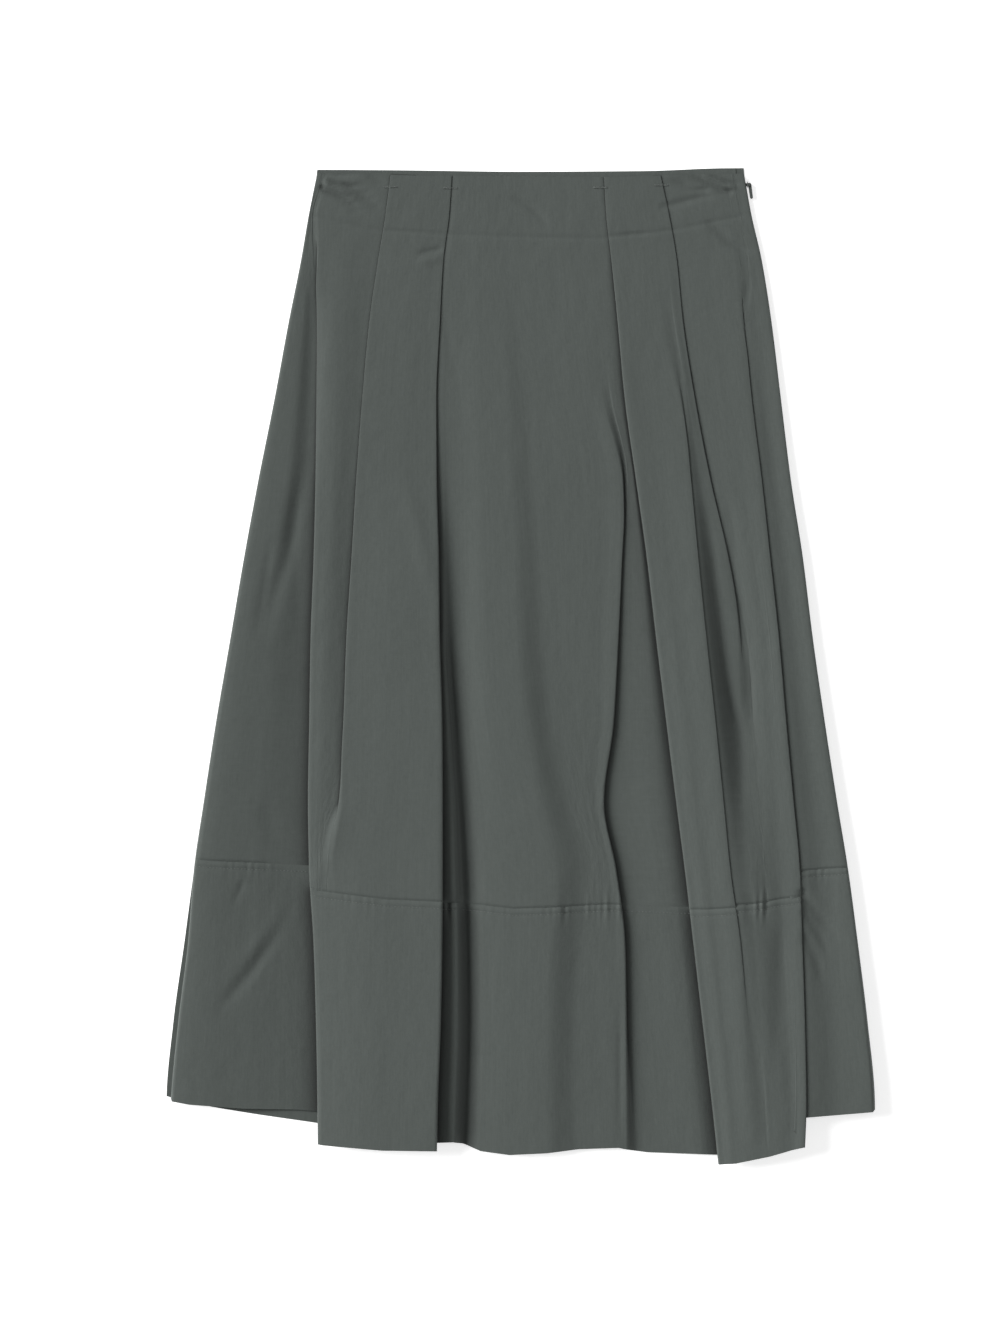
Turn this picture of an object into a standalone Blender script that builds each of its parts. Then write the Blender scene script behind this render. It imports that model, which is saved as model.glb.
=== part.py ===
"""A pleated midi skirt laid flat on its back, modelled piece by piece at its real size.

The skirt lies on the floor: +Z is up, +Y points to the waist, and the origin is under
the middle of its outline. The back lies flat. The front lies on it, and is folded: two
pleats on each side of a flat middle make two raised strips, and the fullness at each side
is folded under in a wide ply. A deep band is sewn to the bottom edge of both.

Places on the cloth are given in millimetres: "across" from the middle, "drop" below the
top edge, and "height" of the middle of the wall above the floor.
"""

import math
from bisect import bisect_right
from collections import namedtuple

import bmesh
import bpy

MM = 0.001
TOP_Y = 408.1            # the top edge's place along Y, for a skirt 816 long
WALL = 1.2               # thickness of each cloth wall
SEAM_GAP = 0.35          # free space between pieces that are sewn together
BACK_HEIGHT = WALL / 2
FACING_HEIGHT = BACK_HEIGHT + WALL + SEAM_GAP
FACING_DEPTH = 46.0
FACING_INSET_LEFT = 1.5
FACING_INSET_RIGHT = 6.5
PLY_PITCH = 1.7          # least distance from the lowest layer of a fold to the next
PLY_SHARE = 0.45         # and its share of the whole rise where the fold stands open
EDGE_ROLL = 2.0          # half width of the soft roll along a fold that shows
HIDDEN_ROLL = 1.0        # the same, along a fold that is tucked under
HEIGHT_EASE = 60.0       # drop over which a fold rises before its cloth turns under
OPEN_HALF = 5.0          # half width of a fold that is still open
OPEN_LIMIT = 0.4         # and the least share of the way to its neighbours that it leaves free

ZIP_TOP = 17.5
ZIP_BOTTOM = 205.0
CHAIN_INSET = 3.4
CHAIN_WIDTH = 2.4
CHAIN_THICK = 1.0
CHAIN_ROWS = 8

PIN_ACROSS = 187.4
PIN_DROP = 14.0
PIN_RADIUS = 0.4
TAB_HEIGHT = 2.7
TAB_THICK = 1.0
TAB_EYE = 1.4            # outer radius of the pull tab's eye
TAB_HOLE = 0.75
TAB_TIP = 1.2
TAB_LENGTH = 10.5
TAB_LEAN = math.radians(8)
LUG_THICK = 0.7
LUG_GAP = 0.3
SLIDER_LENGTH = 5.0
PLATE_THICK = 0.5
TONGUE_REACH = 2.4

UPPER_ROWS = (0, 0.05, 0.1, 0.16, 0.24, 0.33, 0.43, 0.53, 0.63, 0.68, 0.73, 0.82, 0.865, 0.91, 1)
BAND_ROWS = (0, 0.33, 0.67, 1)
BACK_COLUMNS = 20
BEND_SEGMENTS = 4
MIDDLE_SEGMENTS = 2
LOWER_SEGMENTS = 2
UPPER_SEGMENTS = 2

# How far across from the middle each line lies, at each drop below the top edge.
DROPS = (5, 40, 75, 125, 190, 255, 320, 385, 455, 520, 575, 635, 700, 765, 816)
LINES = {
    "side_left": (-167, -174, -180, -190, -202, -215, -227, -238, -250, -260, -268, -273, -281, -287, -289),
    "ply_left": (-154, -166, -168, -167, -168, -168, -170, -172, -173, -174, -173, -170, -168, -166, -166),
    "strip1_left": (-107, -111, -117, -124, -130, -135, -139, -143, -145, -149, -154, -156, -156, -156, -156),
    "strip1_right": (-57, -59, -64, -66, -69, -69, -67, -66, -64, -64, -64, -64, -66, -68, -69),
    "valley": (-49, -51, -56, -58, -61, -60, -60, -59, -55, -50, -48, -46, -45, -45, -47),
    "trough": (-14, -14, -14, -13, -6, -4, 0, 3, 10, 25, 41, 36, 31, 33, 36),
    "border": (52, 54, 58, 63, 70, 84, 83, 80, 76, 68, 79, 88, 90, 93, 94),
    "inset": (60, 62, 66, 71, 78, 90, 95, 98, 101, 103, 110, 116, 121, 127, 131),
    "strip2_left": (68, 70, 74, 79, 85, 94, 102, 109, 117, 125, 132, 139, 147, 155, 161),
    "crease": (104, 108, 113, 120, 131, 138, 145, 152, 159, 166, 171, 180, 186, 191, 195),
    "hollow": (110, 115, 120, 126, 137, 146, 155, 162, 174, 181, 186, 192, 197, 201, 204),
    "strip2_right": (116, 121, 127, 132, 142, 152, 163, 173, 183, 188, 193, 198, 203, 207, 210),
    "ply_right": (168, 174, 179, 183, 189, 197, 204, 211, 217, 223, 228, 230, 232, 233, 231),
    "side_right": (182.6, 189, 197, 205, 213, 221, 231, 239, 249, 259, 268, 276, 284, 290, 290.6),
    "back_left": (-167, -174, -180, -190, -202, -215, -227, -238, -250, -260, -268, -276, -285, -290.6, -290.6),
}

# Heights are given at these drops: waist, under the facing, yoke, hip, and on to the hem.
HEIGHT_DROPS = (5, 58, 100, 210, 320, 450, 600, 816)

# Places along the front's section that no fold divides. Each lies at a share of the way
# from one line to another, and its top, seam and hem say where the pieces' edges cross it.
Stop = namedtuple("Stop", "name after before share segments top seam hem heights")
STOPS = (
    Stop("side_left", "side_left", "side_left", 0, 3, 5, 567, 763,
         (3.7, 3.7, 2.3, 2.2, 2.2, 2.2, 2.2, 2.2)),
    Stop("side_crest_left", "side_left", "ply_left", 0.35, 3, 4.5, 568, 770,
         (3.8, 3.9, 3.8, 5.0, 6.0, 6.8, 6.6, 7.5)),
    Stop("ply_trough_left", "side_left", "ply_left", 0.78, 0, 4.2, 571, 772,
         (3.8, 3.8, 2.6, 2.5, 2.5, 2.4, 2.5, 2.6)),
    Stop("ply_panel_left", "ply_left", "strip1_left", 0.5, 0, 4.5, 592, 800,
         (3.9, 7.2, 7.2, 7.0, 7.0, 7.6, 9.0, 10.0)),
    Stop("strip1_middle", "strip1_left", "strip1_right", 0.5, 0, 6.8, 599, 804,
         (7.4, 7.8, 8.1, 8.8, 9.4, 10.0, 10.6, 12.0)),
    Stop("underlay_left", "strip1_right", "valley", 0.5, 2, 6.8, 602, 798,
         (3.7, 3.7, 3.8, 4.0, 4.4, 6.2, 7.5, 8.0)),
    Stop("valley", "valley", "valley", 0, 2, 6.8, 603, 800,
         (3.7, 3.7, 3.7, 3.8, 3.8, 3.0, 2.5, 2.5)),
    Stop("bank", "valley", "trough", 0.16, 2, 6.8, 604, 805.5,
         (3.7, 3.8, 4.0, 4.4, 5.0, 7.4, 9.0, 9.5)),
    Stop("centre_crest", "valley", "trough", 0.45, 3, 6.8, 607, 808.5,
         (3.8, 4.0, 4.5, 5.6, 6.6, 8.4, 9.6, 10.5)),
    Stop("trough", "trough", "trough", 0, 3, 7, 604.5, 804,
         (3.7, 4.0, 4.3, 4.7, 4.9, 4.9, 4.4, 4.4)),
    Stop("centre_ridge", "trough", "border", 0.45, 0, 7.4, 603.5, 803,
         (3.7, 4.0, 4.4, 5.6, 6.8, 8.2, 8.2, 7.5)),
    Stop("inset", "inset", "inset", 0, 0, 7.8, 605.5, 808.5,
         (3.7, 3.7, 3.7, 3.7, 3.5, 3.3, 5.0, 6.5)),
    Stop("strip2_crest", "strip2_left", "crease", 0.4, 2, 7.6, 607.5, 815,
         (7.4, 7.8, 8.1, 8.8, 9.5, 10.4, 11.5, 13.0)),
    Stop("crease", "crease", "crease", 0, 2, 7.0, 606, 812,
         (7.4, 7.8, 8.1, 8.9, 9.8, 11.0, 11.5, 11.0)),
    Stop("hollow", "hollow", "hollow", 0, 0, 6.6, 603, 809,
         (7.3, 7.6, 7.8, 7.9, 7.9, 7.6, 9.0, 9.5)),
    Stop("panel_trough", "strip2_right", "ply_right", 0.2, 2, 6.0, 601, 806,
         (3.8, 4.0, 4.2, 4.5, 4.9, 5.8, 7.0, 8.0)),
    Stop("panel_crest", "strip2_right", "ply_right", 0.5, 0, 5.5, 599, 804,
         (3.8, 4.6, 6.6, 7.0, 7.2, 7.9, 8.5, 9.0)),
    Stop("ply_trough_right", "ply_right", "side_right", 0.22, 3, 5.2, 574.5, 775.5,
         (3.8, 3.8, 3.6, 3.6, 2.5, 2.4, 2.5, 2.6)),
    Stop("side_crest_right", "ply_right", "side_right", 0.65, 3, 5.2, 573.5, 773,
         (3.8, 3.9, 4.0, 5.2, 6.0, 6.8, 6.6, 7.5)),
    Stop("side_right", "side_right", "side_right", 0, 0, 5.5, 572.5, 770.5,
         (3.7, 3.7, 3.5, 3.5, 2.2, 2.2, 2.2, 2.2)),
)

# Folds in three layers. The edge that shows follows a line; the other edge is tucked
# under by the fold's depth. "opens" is +1 where the top layer runs to the right of the
# edge that shows, and -1 where it runs to the left. Each fold starts, is full, fades and
# is gone at the drops given, and "low" and "high" are its lowest and top layers' heights.
Fold = namedtuple("Fold", "after line opens depth start full fade gone edge under low high")
NEVER = 9999.0
FOLDS = (
    Fold("ply_trough_left", "ply_left", 1, 11, 50, 150, NEVER, NEVER, (4.2, 589.5, 799.5), (4.2, 577, 781),
         (3.7, 3.7, 2.3, 2.3, 2.3, 2.3, 2.3, 2.3), (7.2, 7.6, 7.4, 7.2, 7.2, 7.8, 8.6, 9.6)),
    Fold("ply_panel_left", "strip1_left", 1, 20, -NEVER, -NEVER, 430, 550, (6, 595.5, 801.5), (6, 594, 801),
         (3.7, 3.8, 4.0, 4.2, 4.3, 4.3, 4.5, 8.0), (7.2, 7.6, 7.9, 8.5, 9.0, 9.6, 10.6, 12.0)),
    Fold("strip1_middle", "strip1_right", -1, 20, -NEVER, -NEVER, NEVER, NEVER, (6.8, 601, 804.5),
         (6.8, 603, 801),
         (3.7, 3.7, 3.8, 3.8, 3.9, 4.0, 4.2, 4.6), (7.2, 7.6, 7.9, 8.5, 9.0, 9.8, 11.0, 13.0)),
    Fold("centre_ridge", "border", -1, 6, 200, 330, 480, 560, (7.5, 604, 807), (7.5, 604.5, 807),
         (3.7, 3.7, 3.7, 3.7, 3.5, 3.3, 3.2, 3.2), (6.0, 6.0, 6.0, 6.8, 8.2, 9.2, 8.5, 8.0)),
    Fold("inset", "strip2_left", 1, 20, -NEVER, -NEVER, NEVER, NEVER, (7.8, 607.5, 816), (7.8, 607, 811),
         (3.7, 3.7, 3.8, 3.9, 4.1, 4.5, 5.2, 5.8), (7.2, 7.6, 7.9, 8.5, 9.2, 10.2, 11.2, 13.0)),
    Fold("hollow", "strip2_right", -1, 7, -NEVER, -NEVER, 360, 435, (6.4, 602, 807.5), (6.4, 601.5, 807),
         (3.7, 3.7, 3.8, 3.9, 4.2, 4.6, 5.0, 5.0), (7.2, 7.6, 7.9, 8.6, 9.2, 9.6, 10.0, 10.0)),
    Fold("panel_crest", "ply_right", -1, 15, 85, 150, NEVER, NEVER, (5.3, 597, 801.5), (5.3, 585, 788),
         (3.7, 3.5, 2.6, 2.4, 2.3, 2.3, 2.3, 2.3), (7.1, 7.1, 7.0, 7.2, 7.2, 7.8, 8.6, 9.6)),
)

# The back's edges: places across, with the drop of its top edge, band seam and hem there.
BACK_ACROSS = (-290.6, -270, -225, -167, -100, 0, 100, 167, 225, 270, 290.6)
BACK_TOP = (1.6, 1.6, 1.6, 1.6, 2.0, 3.2, 2.6, 0.3, 0.0, 0.0, 0.0)
BACK_SEAM = (566, 567, 571, 577, 584, 589, 585, 579, 576, 573, 572)
BACK_HEM = (761, 766, 772, 783, 793, 797, 791, 782, 775, 770, 768)


def slope_at(places, values, i):
    """The slope of a line through the places at number i, level where it turns back."""
    rises = []
    for a in (i - 1, i):
        if 0 <= a < len(places) - 1:
            rises.append((values[a + 1] - values[a]) / (places[a + 1] - places[a]))
    if len(rises) == 1:
        return rises[0]
    if rises[0] * rises[1] <= 0:
        return 0.0
    return 2 * rises[0] * rises[1] / (rises[0] + rises[1])


def glide(places, values, at):
    """Read the smooth line through the values at one place, with no overshoot."""
    if at <= places[0]:
        return values[0]
    if at >= places[-1]:
        return values[-1]
    i = bisect_right(places, at) - 1
    span = places[i + 1] - places[i]
    t = (at - places[i]) / span
    start = slope_at(places, values, i) * span
    end = slope_at(places, values, i + 1) * span
    rise = values[i + 1] - values[i]
    return values[i] + t * (start + t * (3 * rise - 2 * start - end + t * (start + end - 2 * rise)))


def ease(start, end, at):
    """0 before start, 1 after end, and a soft step between them."""
    if end <= start:
        return 1.0 if at >= end else 0.0
    t = min(1.0, max(0.0, (at - start) / (end - start)))
    return t * t * (3 - 2 * t)


def line(name, drop):
    return glide(DROPS, LINES[name], drop)


def mix(a, b, share):
    return a + (b - a) * share


def crossing(lengths, piece, t):
    """The drop of a place at share t of the way down the upper piece or the band."""
    top, seam, hem = lengths
    if piece == "upper":
        return mix(top, seam, t)
    return mix(seam + SEAM_GAP, hem, t)


def stop_point(stop, piece, t):
    """Across, drop and height of a stop on one row."""
    drop = crossing((stop.top, stop.seam, stop.hem), piece, t)
    across = mix(line(stop.after, drop), line(stop.before, drop), stop.share)
    return across, drop, glide(HEIGHT_DROPS, stop.heights, drop)


def stretch(a, b, segments, height_at):
    """Points from a to b, without b, at heights read from a function of the place across."""
    points = []
    for i in range(segments):
        t = i / segments
        across = mix(a[0], b[0], t)
        points.append((across, mix(a[1], b[1], t), height_at(across)))
    return points


def bend(edge, reach, roll, start_height, end_height, drop):
    """Points of a turn whose edge lies at the place across, from one layer to the next."""
    middle = (start_height + end_height) / 2
    half = (start_height - end_height) / 2
    points = []
    for i in range(BEND_SEGMENTS):
        angle = math.pi * (0.5 - i / BEND_SEGMENTS)
        across = edge - reach * roll * (1 - math.cos(angle))
        points.append((across, drop, middle + half * math.sin(angle)))
    return points


def soft_run(a, b, segments):
    """Points from a to b, without b, that leave and arrive level."""
    points = []
    for i in range(segments):
        t = i / segments
        points.append((mix(a[0], b[0], t), mix(a[1], b[1], t), mix(a[2], b[2], ease(0, 1, t))))
    return points


def folded(fold, a, b, piece, t):
    """The cloth between stops a and b with its fold made, as three runs of points.

    The first run leads up to the fold, the second holds both turns and the layer between
    them, and the third leads away.
    """
    edge_drop = crossing(fold.edge, piece, t)
    under_drop = crossing(fold.under, piece, t)
    edge = line(fold.line, edge_drop)
    under = edge + fold.opens * fold.depth
    low = glide(HEIGHT_DROPS, fold.low, edge_drop)
    high = glide(HEIGHT_DROPS, fold.high, edge_drop)
    middle = low + max(PLY_PITCH, PLY_SHARE * (high - low))
    foot = (edge, mix(under_drop, edge_drop, 0.5), low)
    lip = (edge + fold.opens * EDGE_ROLL, edge_drop, high)
    inner_lip = (edge + fold.opens * EDGE_ROLL, edge_drop, middle)
    tuck = (under - fold.opens * HIDDEN_ROLL, under_drop, low)
    inner_tuck = (under - fold.opens * HIDDEN_ROLL, under_drop, middle)
    if fold.opens > 0:
        lead = soft_run(a, foot, LOWER_SEGMENTS) + soft_run(foot, tuck, LOWER_SEGMENTS)
        turns = (bend(under, 1, HIDDEN_ROLL, low, middle, under_drop)
                 + soft_run(inner_tuck, inner_lip, MIDDLE_SEGMENTS)
                 + bend(edge, -1, EDGE_ROLL, middle, high, edge_drop))
        tail = soft_run(lip, b, UPPER_SEGMENTS)
    else:
        lead = soft_run(a, lip, UPPER_SEGMENTS)
        turns = (bend(edge, 1, EDGE_ROLL, high, middle, edge_drop)
                 + soft_run(inner_lip, inner_tuck, MIDDLE_SEGMENTS)
                 + bend(under, -1, HIDDEN_ROLL, middle, low, under_drop))
        tail = soft_run(tuck, foot, LOWER_SEGMENTS) + soft_run(foot, b, LOWER_SEGMENTS)
    return edge, edge_drop, lead, turns, tail


def fold_amounts(fold, drop):
    """How far the fold's cloth is turned under, and how far it stands up, from 0 to 1."""
    turned = ease(fold.start, fold.full, drop) * (1 - ease(fold.fade, fold.gone, drop))
    raised = (ease(fold.start - HEIGHT_EASE, fold.start, drop)
              * (1 - ease(fold.gone, fold.gone + HEIGHT_EASE, drop)))
    return turned, raised


def opening_fold(fold, a, b, piece, t, plain_height):
    """The cloth between stops a and b, however far its fold is made on this row.

    Where the fold is open, its cloth is a smooth step that spreads out beside the edge.
    """
    edge, drop, lead, turns, tail = folded(fold, a, b, piece, t)
    turned, raised = fold_amounts(fold, drop)
    left = max(edge - OPEN_HALF, mix(a[0], edge, OPEN_LIMIT))
    right = min(edge + OPEN_HALF, mix(b[0], edge, OPEN_LIMIT))
    row = []
    for run, start, end in ((lead, a[0], left), (turns, left, right), (tail, right, b[0])):
        for i, (across, place_drop, height) in enumerate(run):
            share = i / len(run)
            if run is turns:
                step = mix(turns[0][2], tail[0][2], ease(0, 1, share))
                height = mix(step, height, turned)
            open_across = mix(start, end, share)
            open_drop = mix(a[1], b[1], (open_across - a[0]) / (b[0] - a[0]))
            row.append((mix(open_across, across, turned), mix(open_drop, place_drop, turned),
                        mix(plain_height(open_across), height, raised)))
    return row


def section(piece, t):
    """One row of the front's wall, from the left side to the right."""
    stops = [stop_point(stop, piece, t) for stop in STOPS]
    across = [point[0] for point in stops]
    heights = [point[2] for point in stops]
    folds = {fold.after: fold for fold in FOLDS}

    def plain_height(x):
        return glide(across, heights, x)

    row = []
    for i, stop in enumerate(STOPS[:-1]):
        a, b = stops[i], stops[i + 1]
        if stop.name in folds:
            row += opening_fold(folds[stop.name], a, b, piece, t, plain_height)
        else:
            row += stretch(a, b, stop.segments, plain_height)
    row.append(stops[-1])
    return row


def clear_scene():
    for old in list(bpy.data.objects):
        bpy.data.objects.remove(old, do_unlink=True)


def finish_material(name, colour, roughness, metallic=0.0):
    material = bpy.data.materials.new(name)
    material.use_nodes = True
    shader = material.node_tree.nodes["Principled BSDF"]
    shader.inputs["Base Color"].default_value = (*colour, 1.0)
    shader.inputs["Roughness"].default_value = roughness
    shader.inputs["Metallic"].default_value = metallic
    return material


def add_object(name, body, collection, material):
    """Make a named object from a bmesh, in the garment's collection."""
    mesh = bpy.data.meshes.new(name)
    body.to_mesh(mesh)
    body.free()
    mesh.materials.append(material)
    piece = bpy.data.objects.new(name, mesh)
    collection.objects.link(piece)
    return piece


def cloth(name, rows, thickness, collection, material):
    """A cloth wall on a grid of rows of (across, drop, height) points."""
    columns = len(rows[0]) - 1
    body = bmesh.new()
    bmesh.ops.create_grid(body, x_segments=columns, y_segments=len(rows) - 1, size=1.0)
    for vert in body.verts:
        column = round((vert.co.x + 1) / 2 * columns)
        row = round((1 - vert.co.y) / 2 * (len(rows) - 1))
        across, drop, height = rows[row][column]
        vert.co = (across * MM, (TOP_Y - drop) * MM, height * MM)
    bmesh.ops.triangulate(body, faces=body.faces[:])
    piece = add_object(name, body, collection, material)
    wall = piece.modifiers.new("wall", "SOLIDIFY")
    wall.thickness = thickness * MM
    wall.offset = 0.0
    return piece


def back_rows(piece, fractions):
    """Rows of the flat back, from its left side to its right."""
    rows = []
    for t in fractions:
        row = []
        for i in range(BACK_COLUMNS + 1):
            share = i / BACK_COLUMNS
            guess = mix(-270, 270, share)
            for _ in range(3):
                lengths = [glide(BACK_ACROSS, edge, guess) for edge in (BACK_TOP, BACK_SEAM, BACK_HEM)]
                drop = crossing(lengths, piece, t)
                guess = mix(line("back_left", drop), line("side_right", drop), share)
            row.append((guess, drop, BACK_HEIGHT))
        rows.append(row)
    return rows


def facing_rows():
    """Rows of the facing inside the back of the waist, as deep all the way along."""
    rows = []
    for t in (0, 0.5, 1):
        row = []
        for i in range(BACK_COLUMNS + 1):
            share = i / BACK_COLUMNS
            guess = mix(-160, 170, share)
            for _ in range(3):
                drop = glide(BACK_ACROSS, BACK_TOP, guess) + t * FACING_DEPTH
                guess = mix(line("back_left", drop) + FACING_INSET_LEFT,
                            line("side_right", drop) - FACING_INSET_RIGHT, share)
            row.append((guess, drop, FACING_HEIGHT))
        rows.append(row)
    return rows


def chain_rows():
    """Rows of the closed zip chain that lies in the right side seam."""
    rows = []
    height = WALL + SEAM_GAP + CHAIN_THICK / 2
    for i in range(CHAIN_ROWS + 1):
        drop = mix(ZIP_TOP, ZIP_BOTTOM, i / CHAIN_ROWS)
        middle = line("side_right", drop) - CHAIN_INSET
        rows.append([(middle - CHAIN_WIDTH / 2, drop, height), (middle + CHAIN_WIDTH / 2, drop, height)])
    return rows


def add_box(body, low, high):
    """Add a box to a bmesh between two corners given in millimetres."""
    made = bmesh.ops.create_cube(body, size=1.0)
    for vert in made["verts"]:
        vert.co = [mix(low[k], high[k], vert.co[k] + 0.5) * MM for k in range(3)]


def add_rod(body, centre, radius, low, high, segments):
    """Add an upright round bar to a bmesh, with its size in millimetres."""
    made = bmesh.ops.create_cone(body, cap_ends=True, segments=segments, radius1=radius * MM,
                                 radius2=radius * MM, depth=(high - low) * MM)
    for vert in made["verts"]:
        vert.co.x += centre[0] * MM
        vert.co.y += centre[1] * MM
        vert.co.z += (low + high) / 2 * MM


def join_to(piece, other):
    """Unite another solid with a piece, and keep the other out of sight."""
    union = piece.modifiers.new("union", "BOOLEAN")
    union.operation = "UNION"
    union.object = other
    other.hide_render = True
    other.display_type = "WIRE"


def zip_slider(collection, cutters, material):
    """The slider: a plate beside the seam, two lugs, the pin between them, and a tongue."""
    pin_y = TOP_Y - PIN_DROP
    low = TAB_HEIGHT - TAB_THICK / 2 - LUG_GAP - LUG_THICK
    high = TAB_HEIGHT + TAB_THICK / 2 + LUG_GAP + LUG_THICK
    plate_x = PIN_ACROSS - TAB_EYE - LUG_GAP
    half = SLIDER_LENGTH / 2
    body = bmesh.new()
    add_box(body, (plate_x - PLATE_THICK, pin_y - half, low), (plate_x, pin_y + half, high))
    piece = add_object("zip_slider", body, collection, material)
    inside = PLATE_THICK / 2
    lug_side = TAB_EYE
    parts = {
        "lug_low": ((plate_x - inside, pin_y - lug_side, low),
                    (PIN_ACROSS + TAB_EYE / 2, pin_y + lug_side, low + LUG_THICK)),
        "lug_high": ((plate_x - inside, pin_y - lug_side, high - LUG_THICK),
                     (PIN_ACROSS + TAB_EYE / 2, pin_y + lug_side, high)),
        "tongue": ((plate_x - PLATE_THICK - TONGUE_REACH, pin_y - half / 2, WALL + SEAM_GAP),
                   (plate_x - inside, pin_y + half / 2, WALL + SEAM_GAP + CHAIN_THICK)),
    }
    for name, corners in parts.items():
        body = bmesh.new()
        add_box(body, *corners)
        join_to(piece, add_object(name, body, cutters, material))
    body = bmesh.new()
    add_rod(body, (PIN_ACROSS, pin_y), PIN_RADIUS, low + LUG_THICK / 2, high - LUG_THICK / 2, 16)
    join_to(piece, add_object("pin", body, cutters, material))
    return piece


def zip_pull(collection, material):
    """The pull tab: an eye round the slider's pin and a flat tab that hangs from it."""
    body = bmesh.new()
    outline = []
    steps = 8
    for i in range(steps + 1):
        angle = math.pi * i / steps
        outline.append((TAB_EYE * math.cos(angle), TAB_EYE * math.sin(angle)))
    for i in range(steps + 1):
        angle = math.pi * (1 + i / steps)
        outline.append((TAB_TIP * math.cos(angle), -TAB_LENGTH + TAB_TIP * math.sin(angle)))
    ring = [(TAB_HOLE * math.cos(math.tau * i / (2 * steps)), TAB_HOLE * math.sin(math.tau * i / (2 * steps)))
            for i in range(2 * steps)]
    edges = []
    for loop in (outline, ring):
        verts = [body.verts.new((x * MM, y * MM, 0)) for x, y in loop]
        edges += [body.edges.new((verts[i - 1], verts[i])) for i in range(len(verts))]
    bmesh.ops.triangle_fill(body, use_beauty=True, use_dissolve=False, edges=edges, normal=(0, 0, 1))
    bmesh.ops.recalc_face_normals(body, faces=body.faces[:])
    for vert in body.verts:
        x, y = vert.co.x, vert.co.y
        vert.co.x = x * math.cos(TAB_LEAN) - y * math.sin(TAB_LEAN)
        vert.co.y = x * math.sin(TAB_LEAN) + y * math.cos(TAB_LEAN)
    piece = add_object("zip_pull", body, collection, material)
    piece.location = (PIN_ACROSS * MM, (TOP_Y - PIN_DROP) * MM, TAB_HEIGHT * MM)
    wall = piece.modifiers.new("wall", "SOLIDIFY")
    wall.thickness = TAB_THICK * MM
    wall.offset = 0.0
    return piece


def build():
    clear_scene()
    skirt = bpy.data.collections.new("pleated_skirt")
    cutters = bpy.data.collections.new("cutters")
    for collection in (skirt, cutters):
        bpy.context.scene.collection.children.link(collection)
    poplin = finish_material("poplin", (0.085, 0.098, 0.092), 0.85)
    tape = finish_material("zip_tape", (0.05, 0.058, 0.054), 0.6)
    metal = finish_material("zip_metal", (0.05, 0.058, 0.054), 0.45, 0.6)
    cloth("back_panel", back_rows("upper", UPPER_ROWS), WALL, skirt, poplin)
    cloth("back_band", back_rows("band", BAND_ROWS), WALL, skirt, poplin)
    cloth("back_facing", facing_rows(), WALL, skirt, poplin)
    cloth("front_panel", [section("upper", t) for t in UPPER_ROWS], WALL, skirt, poplin)
    cloth("front_band", [section("band", t) for t in BAND_ROWS], WALL, skirt, poplin)
    cloth("zip_chain", chain_rows(), CHAIN_THICK, skirt, tape)
    zip_slider(skirt, cutters, metal)
    zip_pull(skirt, metal)


build()
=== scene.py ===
# %% [markdown]
# # A pleated midi skirt laid flat
#
# The skirt lies on its back on a white floor, and the camera looks straight down at it.
# It has a flat middle, two raised strips that pleats make beside it, a ply folded under at
# each side, and a deep band sewn to its hem. The frame holds a plain solid for each piece.
# Here each cloth piece is made again as a thin shell on its solid's form, with the creases,
# the seams and the sewing that the real cloth has.

# %% Load the frame
import math
from bisect import bisect_right
from collections import namedtuple

import bmesh
import bpy
import numpy as np
from mathutils import Matrix, Vector
from mathutils.bvhtree import BVHTree


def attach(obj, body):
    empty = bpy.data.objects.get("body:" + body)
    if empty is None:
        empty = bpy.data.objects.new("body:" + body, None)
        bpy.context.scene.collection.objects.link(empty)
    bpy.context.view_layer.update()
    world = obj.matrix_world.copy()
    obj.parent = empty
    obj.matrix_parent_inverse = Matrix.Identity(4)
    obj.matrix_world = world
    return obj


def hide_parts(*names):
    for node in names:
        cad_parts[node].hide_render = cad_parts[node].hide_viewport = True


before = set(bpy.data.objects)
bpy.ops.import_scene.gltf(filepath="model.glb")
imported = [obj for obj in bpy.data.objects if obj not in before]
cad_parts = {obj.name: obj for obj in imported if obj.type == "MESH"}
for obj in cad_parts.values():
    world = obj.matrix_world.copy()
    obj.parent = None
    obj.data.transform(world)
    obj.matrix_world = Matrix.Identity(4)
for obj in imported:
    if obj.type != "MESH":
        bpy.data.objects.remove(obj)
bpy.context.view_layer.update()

# %% [markdown]
# ## Where the lines of the skirt lie
#
# A flat garment is easiest to describe by the lines that run down it: its sides, the edges
# of its folds and the troughs between them. Each line has a place across at a few drops
# below the top edge, and a smooth curve goes through them. All of it is in millimetres, as
# a maker would measure it, and turned into metres once, when the mesh is made.

# %% Lines down the skirt
MM = 0.001
TOP_Y = 408.1
WALL = 1.2
CLOTH = 0.3
SEAM_GAP = 0.06
BACK_HEIGHT = WALL / 2

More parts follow.
